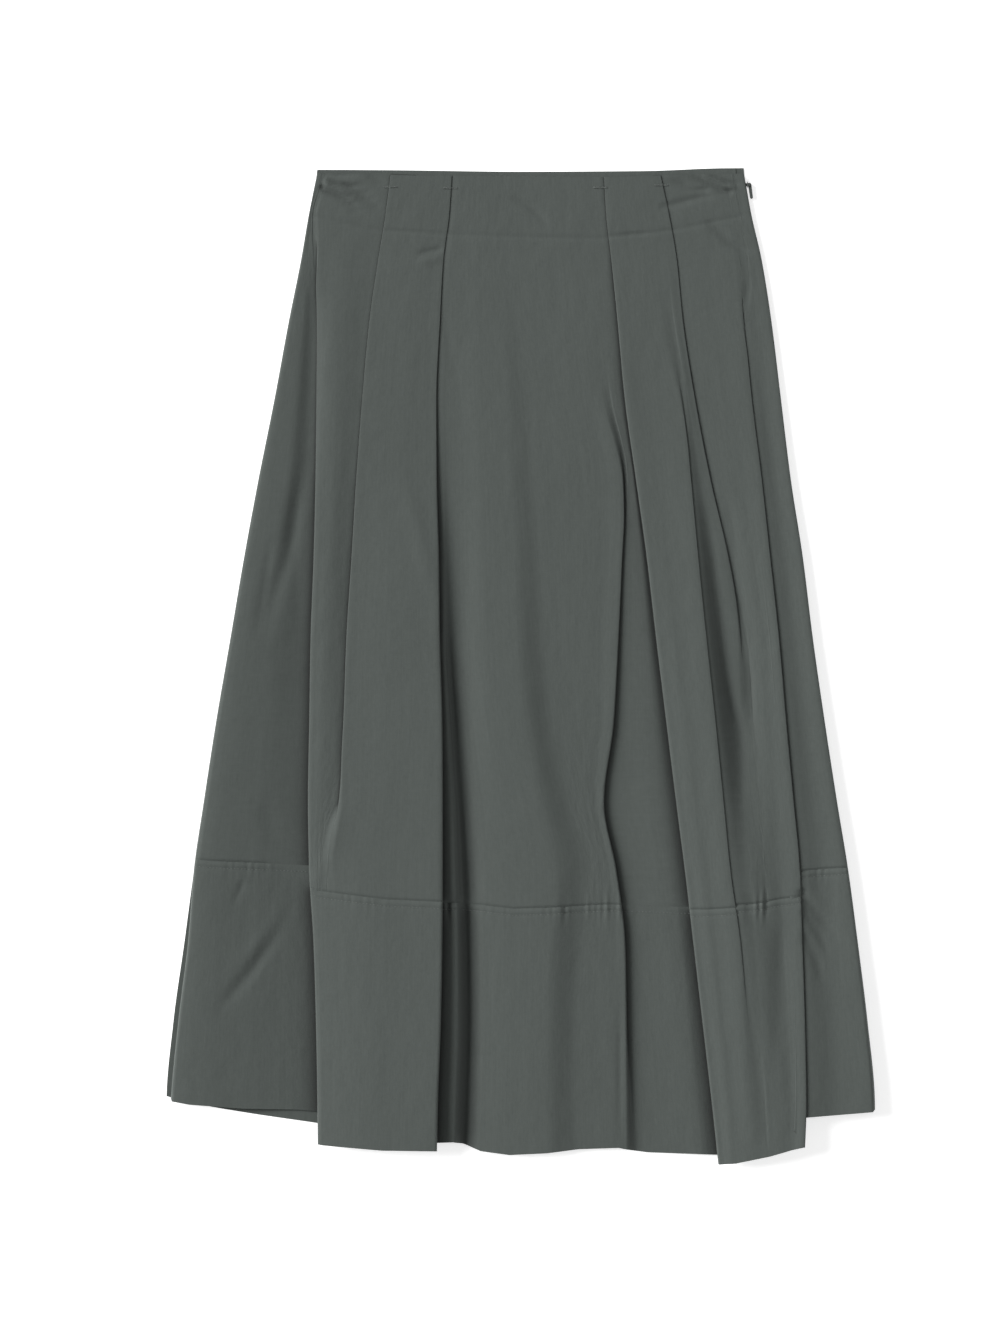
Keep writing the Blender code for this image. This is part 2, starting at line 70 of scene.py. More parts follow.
DROPS = (5, 40, 75, 125, 190, 255, 320, 385, 455, 520, 575, 635, 700, 765, 816)
LINES = {
    "side_left": (-167, -174, -180, -190, -202, -215, -227, -238, -250, -260, -268, -273, -281,
                  -287, -289),
    "ply_left": (-160, -170.5, -168.9, -167.3, -167.7, -168.3, -169.8, -172.2, -173.3, -174.3, -173.3, -169.7,
                 -167.7, -166.5, -166),
    "strip1_left": (-106.6, -111.1, -116.8, -124, -130, -134.8, -138.7, -142.8, -145.3, -150, -158, -158,
                    -158, -158, -158),
    "strip1_right": (-56.6, -59, -63.6, -66.4, -69.3, -68.9, -67.2, -66.4, -64.4, -64, -64, -64.4, -65.6,
                     -68, -69),
    "valley": (-49, -51, -56, -58, -61, -60, -60, -60, -56, -50.5, -47.3, -44.8, -43.8, -45.5, -47.5),
    "trough": (-10, -8, -6, -2, 6, 10, 16, 19, 26, 40, 54, 50, 46, 46, 48),
    "border": (52, 54, 58, 63, 72, 86, 83, 80, 76, 68, 78, 85.5, 87.5, 89.5, 90.5),
    "inset": (60, 62, 66, 71, 78, 90, 95, 98, 101, 103, 110, 116, 121, 127, 131),
    "strip2_left": (68, 70, 74, 79, 85, 94, 103, 110.5, 119, 127, 134, 141, 148.5, 156, 161.5),
    "crease": (104, 108, 113, 120, 133, 139, 145, 151.5, 159, 165.5, 171, 180, 186, 192, 196),
    "hollow": (110, 115, 120, 126, 137, 147, 156.5, 164, 173, 181.5, 186, 192, 197, 201, 204),
    "strip2_right": (114, 121.5, 127.5, 132.5, 142.5, 155, 170, 181, 185, 189, 193, 198, 203, 207, 210),
    "ply_right": (168, 174, 179, 183, 189, 197, 204, 211, 217, 223, 228, 230, 232, 233, 231),
    "side_right": (182.6, 189, 197, 205, 213, 221, 231, 239, 249, 259, 268, 276, 284, 290, 290.6),
    "back_left": (-167, -174, -180, -190, -202, -215, -227, -238, -250, -260, -268, -276, -285,
                  -290.6, -290.6),
}
print(len(LINES), "lines, each at", len(DROPS), "drops")

# %% [markdown]
# ## Reading a line
#
# Straight runs between the places would show as corners in the cloth. The curve used here
# takes its slope at each place from the runs on both sides of it, and lies level where the
# line turns back, so that it never swings wide of the table.

# %% Read a line at any drop
def slope_at(places, values, i):
    """The slope of a line through the places at number i, level where it turns back."""
    rises = []
    for a in (i - 1, i):
        if 0 <= a < len(places) - 1:
            rises.append((values[a + 1] - values[a]) / (places[a + 1] - places[a]))
    if len(rises) == 1:
        return rises[0]
    if rises[0] * rises[1] <= 0:
        return 0.0
    return 2 * rises[0] * rises[1] / (rises[0] + rises[1])


def glide(places, values, at):
    """Read the smooth line through the values at one place, with no overshoot."""
    if at <= places[0]:
        return values[0]
    if at >= places[-1]:
        return values[-1]
    i = bisect_right(places, at) - 1
    span = places[i + 1] - places[i]
    t = (at - places[i]) / span
    start = slope_at(places, values, i) * span
    end = slope_at(places, values, i + 1) * span
    rise = values[i + 1] - values[i]
    return values[i] + t * (start + t * (3 * rise - 2 * start - end + t * (start + end - 2 * rise)))


def line(name, drop):
    return glide(DROPS, LINES[name], drop)


def mix(a, b, share):
    return a + (b - a) * share


def ease(start, end, at):
    """0 before start, 1 after end, and a soft step between them."""
    if end <= start:
        return 1.0 if at >= end else 0.0
    t = min(1.0, max(0.0, (at - start) / (end - start)))
    return t * t * (3 - 2 * t)


print("width at the hem:", round(line("side_right", DROPS[-1]) - line("side_left", DROPS[-1])), "mm")

# %% [markdown]
# ## The folds
#
# Across the front, the cloth rises and falls between named stops, and between some of them
# it is folded in three layers: it runs on under the edge that shows, turns back, and turns
# again at the edge to lie on top. Sculpting that would be slow and uneven. A section worked
# out from two short tables is exact, and one function makes every row of the front from it.
#
# A stop lies at a share of the way from one line to another. It has its own drops for the
# waist, the seam and the hem, and its heights at eight drops. A fold comes after a stop and
# has its edge on a line. It runs under to the right (1) or the left (-1) by its depth, and
# comes and goes at four drops: start and full, fade and gone. The drops of its edge and of
# its hidden turn, and the heights of its lowest and its highest layer, complete it.

# %% Tables of stops and folds
HEIGHT_DROPS = (5, 58, 100, 210, 320, 450, 600, 816)
Stop = namedtuple("Stop", "name after before share top seam hem heights")
STOPS = (
    Stop("side_left", "side_left", "side_left", 0, 5, 567, 763,
         (2.4, 2.2, 1.5, 1.3, 1.3, 1.3, 1.3, 1.6)),
    Stop("side_turn_left", "side_left", "ply_left", 0.012, 5, 567, 765,
         (3.4, 3.4, 3.4, 4.2, 5.3, 6.3, 6.9, 6.9)),
    Stop("side_crest_left", "side_left", "ply_left", 0.13, 4.5, 568, 767.5,
         (3.8, 3.9, 4.1, 4.8, 6.0, 7.0, 7.6, 7.6)),
    Stop("side_slope_left", "side_left", "ply_left", 0.5, 4.3, 569.5, 771,
         (3.8, 3.8, 3.9, 4.5, 5.2, 5.2, 5.0, 5.0)),
    Stop("ply_trough_left", "side_left", "ply_left", 0.86, 4.2, 571, 772,
         (3.8, 3.8, 3.3, 2.6, 2.2, 1.9, 1.8, 2.0)),
    Stop("ply_panel_left", "ply_left", "strip1_left", 0.4, 4.5, 592, 800,
         (3.9, 4.6, 5.5, 7.1, 9.1, 11.1, 13.1, 14.9)),
    Stop("strip1_middle", "strip1_left", "strip1_right", 0.5, 6.8, 599, 804,
         (4.4, 4.6, 5.1, 6.2, 10.0, 13.9, 17.0, 19.1)),
    Stop("underlay_left", "strip1_right", "valley", 0.6, 6.8, 602, 798,
         (3.9, 3.9, 3.9, 4.0, 4.8, 7.7, 10.5, 10.8)),
    Stop("valley", "valley", "valley", 0, 6.8, 603, 800,
         (3.9, 3.8, 3.8, 3.8, 3.2, 1.8, 1.3, 1.3)),
    Stop("bank", "valley", "trough", 0.15, 6.8, 604, 805.5,
         (3.9, 3.8, 3.8, 3.9, 3.8, 5.2, 7.4, 7.4)),
    Stop("centre_crest", "valley", "trough", 0.4, 6.8, 607, 808.5,
         (3.9, 3.9, 4.1, 5.0, 6.0, 8.4, 9.4, 9.6)),
    Stop("centre_shoulder", "valley", "trough", 0.72, 6.9, 606, 807,
         (3.9, 3.9, 4.1, 5.1, 6.3, 9.0, 10.2, 10.4)),
    Stop("trough", "trough", "trough", 0, 7, 604.5, 804,
         (3.9, 3.9, 3.8, 3.8, 3.9, 5.0, 5.8, 6.7)),
    Stop("centre_ridge", "trough", "border", 0.76, 7.4, 603.5, 803,
         (3.9, 3.9, 3.8, 3.5, 3.3, 4.2, 5.3, 6.0)),
    Stop("border_foot", "border", "inset", 0.34, 7.5, 604, 807,
         (3.9, 3.8, 3.7, 3.0, 2.1, 1.6, 1.3, 1.5)),
    Stop("inset", "inset", "strip2_left", 0.62, 7.8, 605.5, 808.5,
         (3.9, 3.8, 3.7, 3.4, 3.2, 3.0, 2.8, 3.6)),
    Stop("strip2_crest", "strip2_left", "crease", 0.4, 7.6, 607.5, 815,
         (4.5, 4.7, 5.8, 7.8, 10.0, 12.5, 13.8, 14.8)),
    Stop("hollow", "hollow", "hollow", 0, 6.6, 603, 809,
         (4.3, 4.5, 5.3, 6.6, 6.4, 5.8, 14.2, 16.9)),
    Stop("panel_trough", "strip2_right", "ply_right", 0.2, 6.0, 601, 806,
         (3.9, 3.9, 4.4, 5.2, 5.9, 6.8, 12.6, 17.5)),
    Stop("panel_crest", "strip2_right", "ply_right", 0.5, 5.5, 599, 804,
         (3.9, 4.0, 4.5, 5.6, 7.0, 8.6, 11.3, 17.6)),
    Stop("ply_trough_right", "ply_right", "side_right", 0.45, 5.2, 574.5, 775.5,
         (3.8, 3.8, 4.0, 4.7, 6.4, 7.7, 9.5, 14.6)),
    Stop("side_crest_right", "ply_right", "side_right", 0.95, 5.2, 573.5, 773,
         (3.8, 3.9, 4.3, 5.8, 7.7, 9.4, 11.2, 15.6)),
    Stop("side_turn_right", "ply_right", "side_right", 0.985, 5.5, 573, 771,
         (3.5, 3.5, 3.9, 5.4, 7.0, 8.6, 10.0, 11.8)),
    Stop("side_right", "side_right", "side_right", 0, 5.5, 572.5, 770.5,
         (2.9, 2.9, 2.9, 1.8, 1.3, 1.3, 1.3, 1.6)),
)

Fold = namedtuple("Fold", "after line opens depth start full fade gone edge under low high")
NEVER = 9999.0
FOLDS = (
    Fold("ply_trough_left", "ply_left", 1, 11, 52, 105, NEVER, NEVER, (4.2, 589.5, 799.5), (4.2, 577, 781),
         (3.5, 3.6, 3.2, 2.6, 2.2, 1.9, 1.8, 2.0), (4.4, 4.6, 5.0, 6.4, 8.4, 10.3, 12.4, 14.2)),
    Fold("ply_panel_left", "strip1_left", 1, 20, -NEVER, -NEVER, 470, 545, (6, 595.5, 801.5), (6, 594, 801),
         (3.5, 3.6, 4.2, 5.2, 7.0, 10.2, 13.4, 15.6), (4.4, 4.5, 5.0, 6.2, 9.2, 13.0, 16.2, 18.4)),
    Fold("strip1_middle", "strip1_right", -1, 20, -NEVER, -NEVER, NEVER, NEVER, (6.8, 601, 804.5),
         (6.8, 603, 801),
         (3.5, 3.5, 3.6, 3.8, 4.6, 8.0, 10.2, 10.6), (4.15, 4.2, 4.45, 5.4, 9.4, 14.0, 17.6, 20.0)),
    Fold("centre_ridge", "border", -1, 6, 225, 300, 600, 860, (7.5, 604, 807), (7.5, 604.5, 807),
         (3.6, 3.5, 3.2, 2.6, 1.9, 1.5, 1.3, 1.4), (4.3, 4.2, 4.1, 4.0, 3.9, 4.9, 5.5, 5.8)),
    Fold("inset", "strip2_left", 1, 20, -NEVER, -NEVER, NEVER, NEVER, (7.8, 607.5, 816), (7.8, 607, 811),
         (3.5, 3.6, 3.6, 3.2, 2.7, 2.4, 2.4, 3.2), (4.4, 4.6, 6.0, 8.2, 9.6, 10.8, 11.6, 12.6)),
    Fold("strip2_crest", "crease", -1, 4, 150, 240, 560, 760, (7.0, 606, 812), (7.0, 606, 811.5),
         (3.5, 3.9, 4.8, 7.2, 10.7, 13.5, 15.6, 15.8), (4.4, 4.7, 5.6, 8.2, 11.6, 14.3, 16.4, 16.6)),
    Fold("hollow", "strip2_right", -1, 6, -NEVER, -NEVER, 330, 420, (6.4, 602, 807.5), (6.4, 601.5, 807),
         (3.5, 3.6, 4.1, 4.9, 5.3, 5.4, 5.4, 5.6), (4.2, 4.3, 4.85, 6.1, 6.5, 6.8, 8.0, 8.0)),
    Fold("panel_crest", "ply_right", -1, 9, 100, 160, NEVER, NEVER, (5.3, 597, 801.5), (5.3, 585, 788),
         (3.7, 3.7, 3.9, 5.5, 7.3, 8.8, 11.0, 16.8), (4.4, 4.5, 4.7, 6.5, 8.7, 10.6, 12.8, 19.2)),
)
print(len(STOPS), "stops and", len(FOLDS), "folds")

# %% [markdown]
# ## One row of the front
#
# A row is a list of points: across, drop and height. It crosses the whole front, from side
# to side. Away from the folds it follows a smooth curve through the heights of the stops,
# and beside a fold it leaves and arrives level.

# %% Points between stops
def crossing(lengths, piece, t):
    """The drop of a place at share t of the way down the upper piece or the band."""
    top, seam, hem = lengths
    if piece == "upper":
        return mix(top, seam, t)
    return mix(seam + SEAM_GAP, hem, t)


def stop_point(stop, piece, t):
    """Across, drop and height of a stop on one row."""
    drop = crossing((stop.top, stop.seam, stop.hem), piece, t)
    across = mix(line(stop.after, drop), line(stop.before, drop), stop.share)
    return across, drop, glide(HEIGHT_DROPS, stop.heights, drop)


def stretch(a, b, segments, height_at=None):
    """Points from a to b, without b, with heights from a function, or level at both ends."""
    points = []
    for i in range(segments):
        t = i / segments
        across = mix(a[0], b[0], t)
        height = height_at(across) if height_at else mix(a[2], b[2], ease(0, 1, t))
        points.append((across, mix(a[1], b[1], t), height))
    return points


print("left end of the top edge:", stop_point(STOPS[0], "upper", 0.0))

# %% [markdown]
# ## One fold
#
# The cloth of a pleat lies in three layers. The edge that shows is a soft roll and not a
# sharp crease, so its points follow half an ellipse, and the turn that is hidden under it
# is made in the same way. The runs before, in and after the turns are worked out for a fold
# that opens to either side.

# %% Fold the cloth between two stops
PLY_PITCH = 0.32
PLY_SHARE = 0.45
EDGE_ROLL = 1.1
ROLL_SHARE = 0.35
HIDDEN_ROLL = 0.8
FOOT_SHARE = 0.15
BEND_SEGMENTS = 6
HIDDEN_SEGMENTS = 3


def bend(edge, reach, roll, start_height, end_height, drop):
    """Points of a turn whose edge lies at the place across, from one layer to the next."""
    middle = (start_height + end_height) / 2
    half = (start_height - end_height) / 2
    points = []
    for i in range(BEND_SEGMENTS):
        angle = math.pi * (0.5 - i / BEND_SEGMENTS)
        points.append((edge - reach * roll * (1 - math.cos(angle)), drop, middle + half * math.sin(angle)))
    return points


def folded(fold, a, b, piece, t, counts):
    """The cloth between stops a and b with its fold made, as three runs of points."""
    edge_drop = crossing(fold.edge, piece, t)
    under_drop = crossing(fold.under, piece, t)
    edge = line(fold.line, edge_drop)
    under = edge + fold.opens * fold.depth
    low = glide(HEIGHT_DROPS, fold.low, edge_drop)
    high = glide(HEIGHT_DROPS, fold.high, edge_drop)
    middle = low + max(PLY_PITCH, PLY_SHARE * (high - low))
    roll = min(EDGE_ROLL, ROLL_SHARE * (high - low))
    lower_drop = a[1] if fold.opens > 0 else b[1]
    foot = (edge, mix(lower_drop, under_drop, FOOT_SHARE), low)
    lip = (edge + fold.opens * roll, edge_drop, high)
    inner_lip = (edge + fold.opens * roll, edge_drop, middle)
    tuck = (under - fold.opens * HIDDEN_ROLL, under_drop, low)
    inner_tuck = (under - fold.opens * HIDDEN_ROLL, under_drop, middle)
    before, after = counts
    if fold.opens > 0:
        lead = stretch(a, foot, before) + stretch(foot, tuck, HIDDEN_SEGMENTS)
        turns = (bend(under, 1, HIDDEN_ROLL, low, middle, under_drop)
                 + stretch(inner_tuck, inner_lip, HIDDEN_SEGMENTS)
                 + bend(edge, -1, roll, middle, high, edge_drop))
        tail = stretch(lip, b, after)
    else:
        lead = stretch(a, lip, before)
        turns = (bend(edge, 1, roll, high, middle, edge_drop)
                 + stretch(inner_lip, inner_tuck, HIDDEN_SEGMENTS)
                 + bend(under, -1, HIDDEN_ROLL, middle, low, under_drop))
        tail = stretch(tuck, foot, HIDDEN_SEGMENTS) + stretch(foot, b, after)
    return edge, edge_drop, lead, turns, tail


print("points in a fold's turns:", 2 * BEND_SEGMENTS + HIDDEN_SEGMENTS)

# %% [markdown]
# ## Where a fold runs out
#
# Some folds begin or end part of the way down. There the row glides between the folded and
# the open shape, which is what cloth does where a pleat runs out. Both shapes have the same
# number of points, so one share from 0 to 1 mixes them.

# %% Open a fold
HEIGHT_EASE = 60.0
OPEN_HALF = 5.0
OPEN_LIMIT = 0.4


def fold_amounts(fold, drop):
    """How far the fold's cloth is turned under, and how far it stands up, from 0 to 1."""
    turned = ease(fold.start, fold.full, drop) * (1 - ease(fold.fade, fold.gone, drop))
    raised = (ease(fold.start - HEIGHT_EASE, fold.start, drop)
              * (1 - ease(fold.gone, fold.gone + HEIGHT_EASE, drop)))
    return turned, raised


def opening_fold(fold, a, b, piece, t, plain_height, counts):
    """The cloth between stops a and b, however far its fold is made on this row."""
    edge, drop, lead, turns, tail = folded(fold, a, b, piece, t, counts)
    turned, raised = fold_amounts(fold, drop)
    left = max(edge - OPEN_HALF, mix(a[0], edge, OPEN_LIMIT))
    right = min(edge + OPEN_HALF, mix(b[0], edge, OPEN_LIMIT))
    row = []
    for run, start, end in ((lead, a[0], left), (turns, left, right), (tail, right, b[0])):
        for i, (across, place_drop, height) in enumerate(run):
            share = i / len(run)
            if run is turns:
                step = mix(turns[0][2], tail[0][2], ease(0, 1, share))
                height = mix(step, height, turned)
            open_across = mix(start, end, share)
            open_drop = mix(a[1], b[1], (open_across - a[0]) / (b[0] - a[0]))
            row.append((mix(open_across, across, turned), mix(open_drop, place_drop, turned),
                        mix(plain_height(open_across), height, raised)))
    return row


print("folds still made at the hem:", sum(fold_amounts(fold, DROPS[-1])[0] > 0 for fold in FOLDS))

# %% [markdown]
# ## A whole row
#
# The rows of a piece can only become a grid when all have the same number of points. So the
# points of each stretch are counted once, from its width on one row part of the way down,
# and every other row keeps to that plan.

# %% Cross the front from side to side
COLUMN_PITCH = {"upper": 2.7, "band": 1.6}
PLAN_SHARE = 0.6


def segments_for(width, piece):
    return max(2, round(abs(width) / COLUMN_PITCH[piece]))


def column_plan(piece):
    """How many points each stretch gets, the same on every row of a piece."""
    stops = [stop_point(stop, piece, PLAN_SHARE) for stop in STOPS]
    folds = {fold.after: fold for fold in FOLDS}
    plan = []
    for i, stop in enumerate(STOPS[:-1]):
        a, b = stops[i][0], stops[i + 1][0]
        if stop.name in folds:
            edge = line(folds[stop.name].line, stops[i][1])
            plan.append((segments_for(edge - a, piece), segments_for(b - edge, piece)))
        else:
            plan.append(segments_for(b - a, piece))
    return plan


def section(piece, t, plan):
    """One row of the front, from the left side to the right."""
    stops = [stop_point(stop, piece, t) for stop in STOPS]
    across = [point[0] for point in stops]
    heights = [point[2] for point in stops]
    folds = {fold.after: fold for fold in FOLDS}

    def plain_height(x):
        return glide(across, heights, x)

    row = []
    for i, stop in enumerate(STOPS[:-1]):
        a, b = stops[i], stops[i + 1]
        if stop.name in folds:
            row += opening_fold(folds[stop.name], a, b, piece, t, plain_height, plan[i])
        else:
            row += stretch(a, b, plan[i], plain_height)
    row.append(stops[-1])
    return row


for piece in COLUMN_PITCH:
    print("points in a row of the", piece, "piece:", len(section(piece, 0, column_plan(piece))))

# %% [markdown]
# ## Creases
#
# Pressed cotton keeps every crease it gets. Each one here is a line through a few places,
# with its own width, height and fading ends: a ridge where the height is positive, a trough
# where it is negative. They are placed one by one, because real creases are uneven, and they
# move the points of the mesh, so they catch the light from every side.

# %% Table of creases
Crease = namedtuple("Crease", "name width rise fade_in fade_out path")
CREASES = (
    Crease("yoke_left_deep", 1.9, -1.9, 0.08, 0.4,
           ((-165, 14), (-161, 18.5), (-154, 21.5), (-145, 25), (-138, 32), (-135, 40))),
    Crease("yoke_left_second", 1.8, -1.2, 0.3, 0.4, ((-148, 12), (-138, 17), (-130, 24), (-124, 30))),
    Crease("yoke_left_ridge", 2.2, 1.7, 0.15, 0.5, ((-163, 11), (-155, 15.5), (-144, 19.5), (-134, 29))),
    Crease("yoke_left_top", 1.9, -1.4, 0.2, 0.4, ((-160, 10), (-150, 14), (-140, 15), (-128, 14))),
    Crease("yoke_left_slant", 2.2, -1.5, 0.2, 0.5, ((-132, 14), (-126, 24), (-120, 32), (-112, 38))),
    Crease("waist_left_roll", 1.8, -1.1, 0.2, 0.4, ((-164, 4), (-150, 6), (-132, 6))),
    Crease("waist_left_slant", 2.2, -1.3, 0.3, 0.4, ((-126, 5), (-119, 10), (-112, 18))),
    Crease("strip1_dent", 2.4, -0.9, 0.5, 0.15, ((-87, 71), (-76, 69), (-64, 66))),
    Crease("strip1_under_dent", 3.5, 0.6, 0.4, 0.2, ((-86, 77), (-74, 76), (-65, 74))),
    Crease("middle_slant", 2.6, -1.1, 0.3, 0.5, ((-8, 24), (6, 31), (16, 39), (22, 51))),
    Crease("waist_right", 2.8, -0.8, 0.3, 0.4, ((121, 8), (147, 15))),
    Crease("yoke_right_deep", 1.9, -2.0, 0.2, 0.12,
           ((140, 6), (148, 10.5), (157, 15.5), (166, 19.5), (174, 20.5))),
    Crease("yoke_right_ridge", 2.2, 1.8, 0.2, 0.2, ((146, 5.5), (157, 10.5), (167, 15), (177, 16))),
    Crease("yoke_right_over", 1.7, -1.5, 0.2, 0.2, ((150, 5), (160, 8.5), (170, 12.5), (180, 13.5))),
    Crease("yoke_right_second", 2.0, -1.8, 0.3, 0.1, ((122, 10), (132, 14), (142, 18), (155, 18))),
    Crease("yoke_right_long", 2.6, -1.4, 0.3, 0.3, ((112, 33), (130, 29), (148, 24), (160, 24))),
    Crease("hip_right", 3.0, -1.6, 0.3, 0.4, ((152, 42), (162, 52), (172, 62), (180, 66), (192, 70))),
    Crease("underlay_faint", 3.0, -0.5, 0.3, 0.4, ((-64, 108), (-60, 141), (-52, 170), (-49, 182))),
    Crease("strip1_diagonal", 7.0, 0.8, 0.4, 0.4,
           ((-96, 248), (-91, 272), (-85, 297), (-80, 317), (-69, 354))),
    Crease("strip1_turn", 5.5, 0.5, 0.3, 0.2, ((-149, 528), (-155, 550), (-163, 572), (-171, 588))),
    Crease("side_trough", 6.5, -2.7, 0.2, 0.4,
           ((-168, 92), (-170, 149), (-172, 190), (-176, 250), (-182, 275), (-191, 320), (-203, 354),
            (-210, 390))),
    Crease("side_hollow", 5.0, -0.9, 0.4, 0.4, ((-180, 240), (-186, 300), (-182, 354), (-180, 400))),
    Crease("side_thin", 3.0, -0.8, 0.3, 0.4, ((-204, 305), (-212, 354), (-216, 387))),
    Crease("side_fold_low", 7.0, -1.6, 0.4, 0.2, ((-214, 524), (-196, 546), (-178, 556))),
    Crease("band_left_slant", 4.5, -1.5, 0.1, 0.4,
           ((-181, 590), (-189, 612), (-198, 628), (-212, 646), (-222, 660), (-236, 676), (-252, 694))),
    Crease("band_left_bank", 6.0, 0.7, 0.2, 0.4,
           ((-186, 586), (-197, 608), (-209, 628), (-224, 645), (-240, 664))),
    Crease("band_left_small", 2.6, -0.8, 0.2, 0.5, ((-226, 584), (-237, 604))),
    Crease("band_right_slant", 3.4, -1.8, 0.1, 0.5,
           ((228, 590), (234, 602), (242, 612), (252, 622), (262, 630))),
    Crease("band_right_third", 3.0, -1.2, 0.1, 0.5, ((230, 606), (237, 618), (246, 630), (252, 642))),
    Crease("band_right_second", 4.0, -1.2, 0.1, 0.5, ((230, 628), (240, 644), (247, 668))),
    Crease("band_right_valley", 7.0, -1.0, 0.3, 0.4, ((212, 617), (211, 674), (211, 731))),
    Crease("crumple_high", 2.6, -0.8, 0.2, 0.4, ((-66, 387), (-54, 405), (-38, 428))),
    Crease("crumple_low", 2.4, -0.7, 0.3, 0.4, ((-42, 719), (-34, 731))),
    Crease("panel_right_trough", 4.0, -0.8, 0.4, 0.2,
           ((165, 264), (169, 280), (174, 305), (175, 330), (180, 354), (182, 371), (186, 383))),
    Crease("panel_right_turn", 3.2, -0.9, 0.3, 0.4, ((182, 381), (190, 386), (200, 387), (207, 394))),
    Crease("ply_right_small", 2.4, -0.6, 0.3, 0.4, ((186, 92), (184, 108))),
    Crease("valley_low", 5.0, -2.4, 0.3, 0.3,
           ((149, 272), (153, 305), (157, 346), (161, 379), (165, 416), (171, 444), (177, 460),
            (180, 494), (181, 522))),
    Crease("hem_line", 2.5, -0.5, 0.3, 0.4, ((81, 682), (81, 797))),
    Crease("facing_edge", 1.5, -0.6, 0.02, 0.02,
           ((-173, 38), (-153, 44), (-120, 51), (-50, 55), (7, 57), (65, 58), (77, 56), (102, 54),
            (126, 51), (184, 39))),
    Crease("facing_shade", 1.5, -0.45, 0.2, 0.2, ((80, 55.5), (92, 54.5), (104, 53.5))),
)
deepest = min(CREASES, key=lambda crease: crease.rise)
print(len(CREASES), "creases, the deepest is", deepest.name, "with", deepest.rise, "mm")

# %% [markdown]
# ## From creases to relief
#
# Each point of the cloth finds the nearest place on the path of a crease. The further away
# it lies, the less it moves, in the shape of a bell, and the crease fades at both ends of
# its path. Arrays do this for all the points of a sheet at once, which is quick.

# %% Relief of the creases
QUARTER_TURN = np.pi / 2


def relief(across, drop):
    """How far the creases move each point up or down, from arrays of places."""
    total = np.zeros_like(across)
    for crease in CREASES:
        path = np.array(crease.path, dtype=float)
        steps = path[1:] - path[:-1]
        lengths = np.hypot(steps[:, 0], steps[:, 1])
        walked = np.concatenate(([0.0], np.cumsum(lengths)))
        nearest = np.full_like(across, np.inf)
        along = np.zeros_like(across)
        for start, step, length, before in zip(path, steps, lengths, walked):
            share = ((across - start[0]) * step[0] + (drop - start[1]) * step[1]) / length ** 2
            share = np.clip(share, 0, 1)
            away = np.hypot(across - start[0] - share * step[0], drop - start[1] - share * step[1])
            closer = away < nearest
            nearest = np.where(closer, away, nearest)
            along = np.where(closer, (before + share * length) / walked[-1], along)
        rise_in = np.clip(along / crease.fade_in, 0, 1)
        rise_out = np.clip((1 - along) / crease.fade_out, 0, 1)
        strength = np.sin(rise_in * QUARTER_TURN) * np.sin(rise_out * QUARTER_TURN)
        total += crease.rise * strength * np.exp(-(nearest / crease.width) ** 2)
    return total


trough_place = (np.array([-176.0]), np.array([250.0]))
print("relief in the trough of the left side:", relief(*trough_place).round(2), "mm")

# %% [markdown]
# ## Puckers along the seams
#
# A topstitched seam draws the cloth up a little, so short soft waves run away from it. They
# die out within a few centimetres, and no two are alike. A sum of three sines of unlike
# lengths is uneven enough and repeats nowhere along one skirt. A short table says where the
# seam draws the cloth up, how far to each side of that place, and how strongly.

# %% Puckers
PUCKER_WAVES = ((5.3, 0.0, 1.0), (7.9, 1.7, 0.9), (13.7, 0.6, 0.8))
PUCKER_SPOTS = ((-56, 9, 1.0), (-20, 14, 0.3), (32, 12, 0.9), (62, 10, 0.7), (82, 10, 1.0),
                (112, 12, 0.3), (195, 11, 1.1), (-130, 30, 0.25), (-215, 30, 0.3), (245, 14, 0.4))


def pucker(across, away, rise, reach):
    """Waves along a seam, from arrays of places across and distances from the seam."""
    waves = sum(size * np.sin(across / length * math.tau + start) for length, start, size in PUCKER_WAVES)
    drawn = sum(strength * np.exp(-((across - place) / half) ** 2) for place, half, strength in PUCKER_SPOTS)
    return rise * waves * drawn * np.exp(-(away / reach) ** 2)


print("pucker waves:", len(PUCKER_WAVES), "in", len(PUCKER_SPOTS), "places")

# %% [markdown]
# ## Cloth from rows
#
# Each sheet starts as a grid with one vertex for each point of the rows, and the vertices
# are moved to those points. The grid gives clean quads and a simple map: across the cloth
# and down it, in metres, so that the weave follows every fold. Solidify gives it thickness.
# The cut edges are marked sharp, because smooth shading over the thin rim would draw a dark
# line along each of them. No point goes below a lowest height, so that a sheet stays above
# the one it lies on.

# %% Build a sheet
POPLIN_LAYER = "weave"


def placed(name, data):
    """A new object in the scene, for a mesh, a light or a camera."""
    item = bpy.data.objects.new(name, data)
    bpy.context.scene.collection.objects.link(item)
    return item


def smooth_object(name, body):
    """Turn a finished bmesh into an object that is shaded smooth."""
    for face in body.faces:
        face.smooth = True
    mesh = bpy.data.meshes.new(name)
    body.to_mesh(mesh)
    body.free()
    return placed(name, mesh)


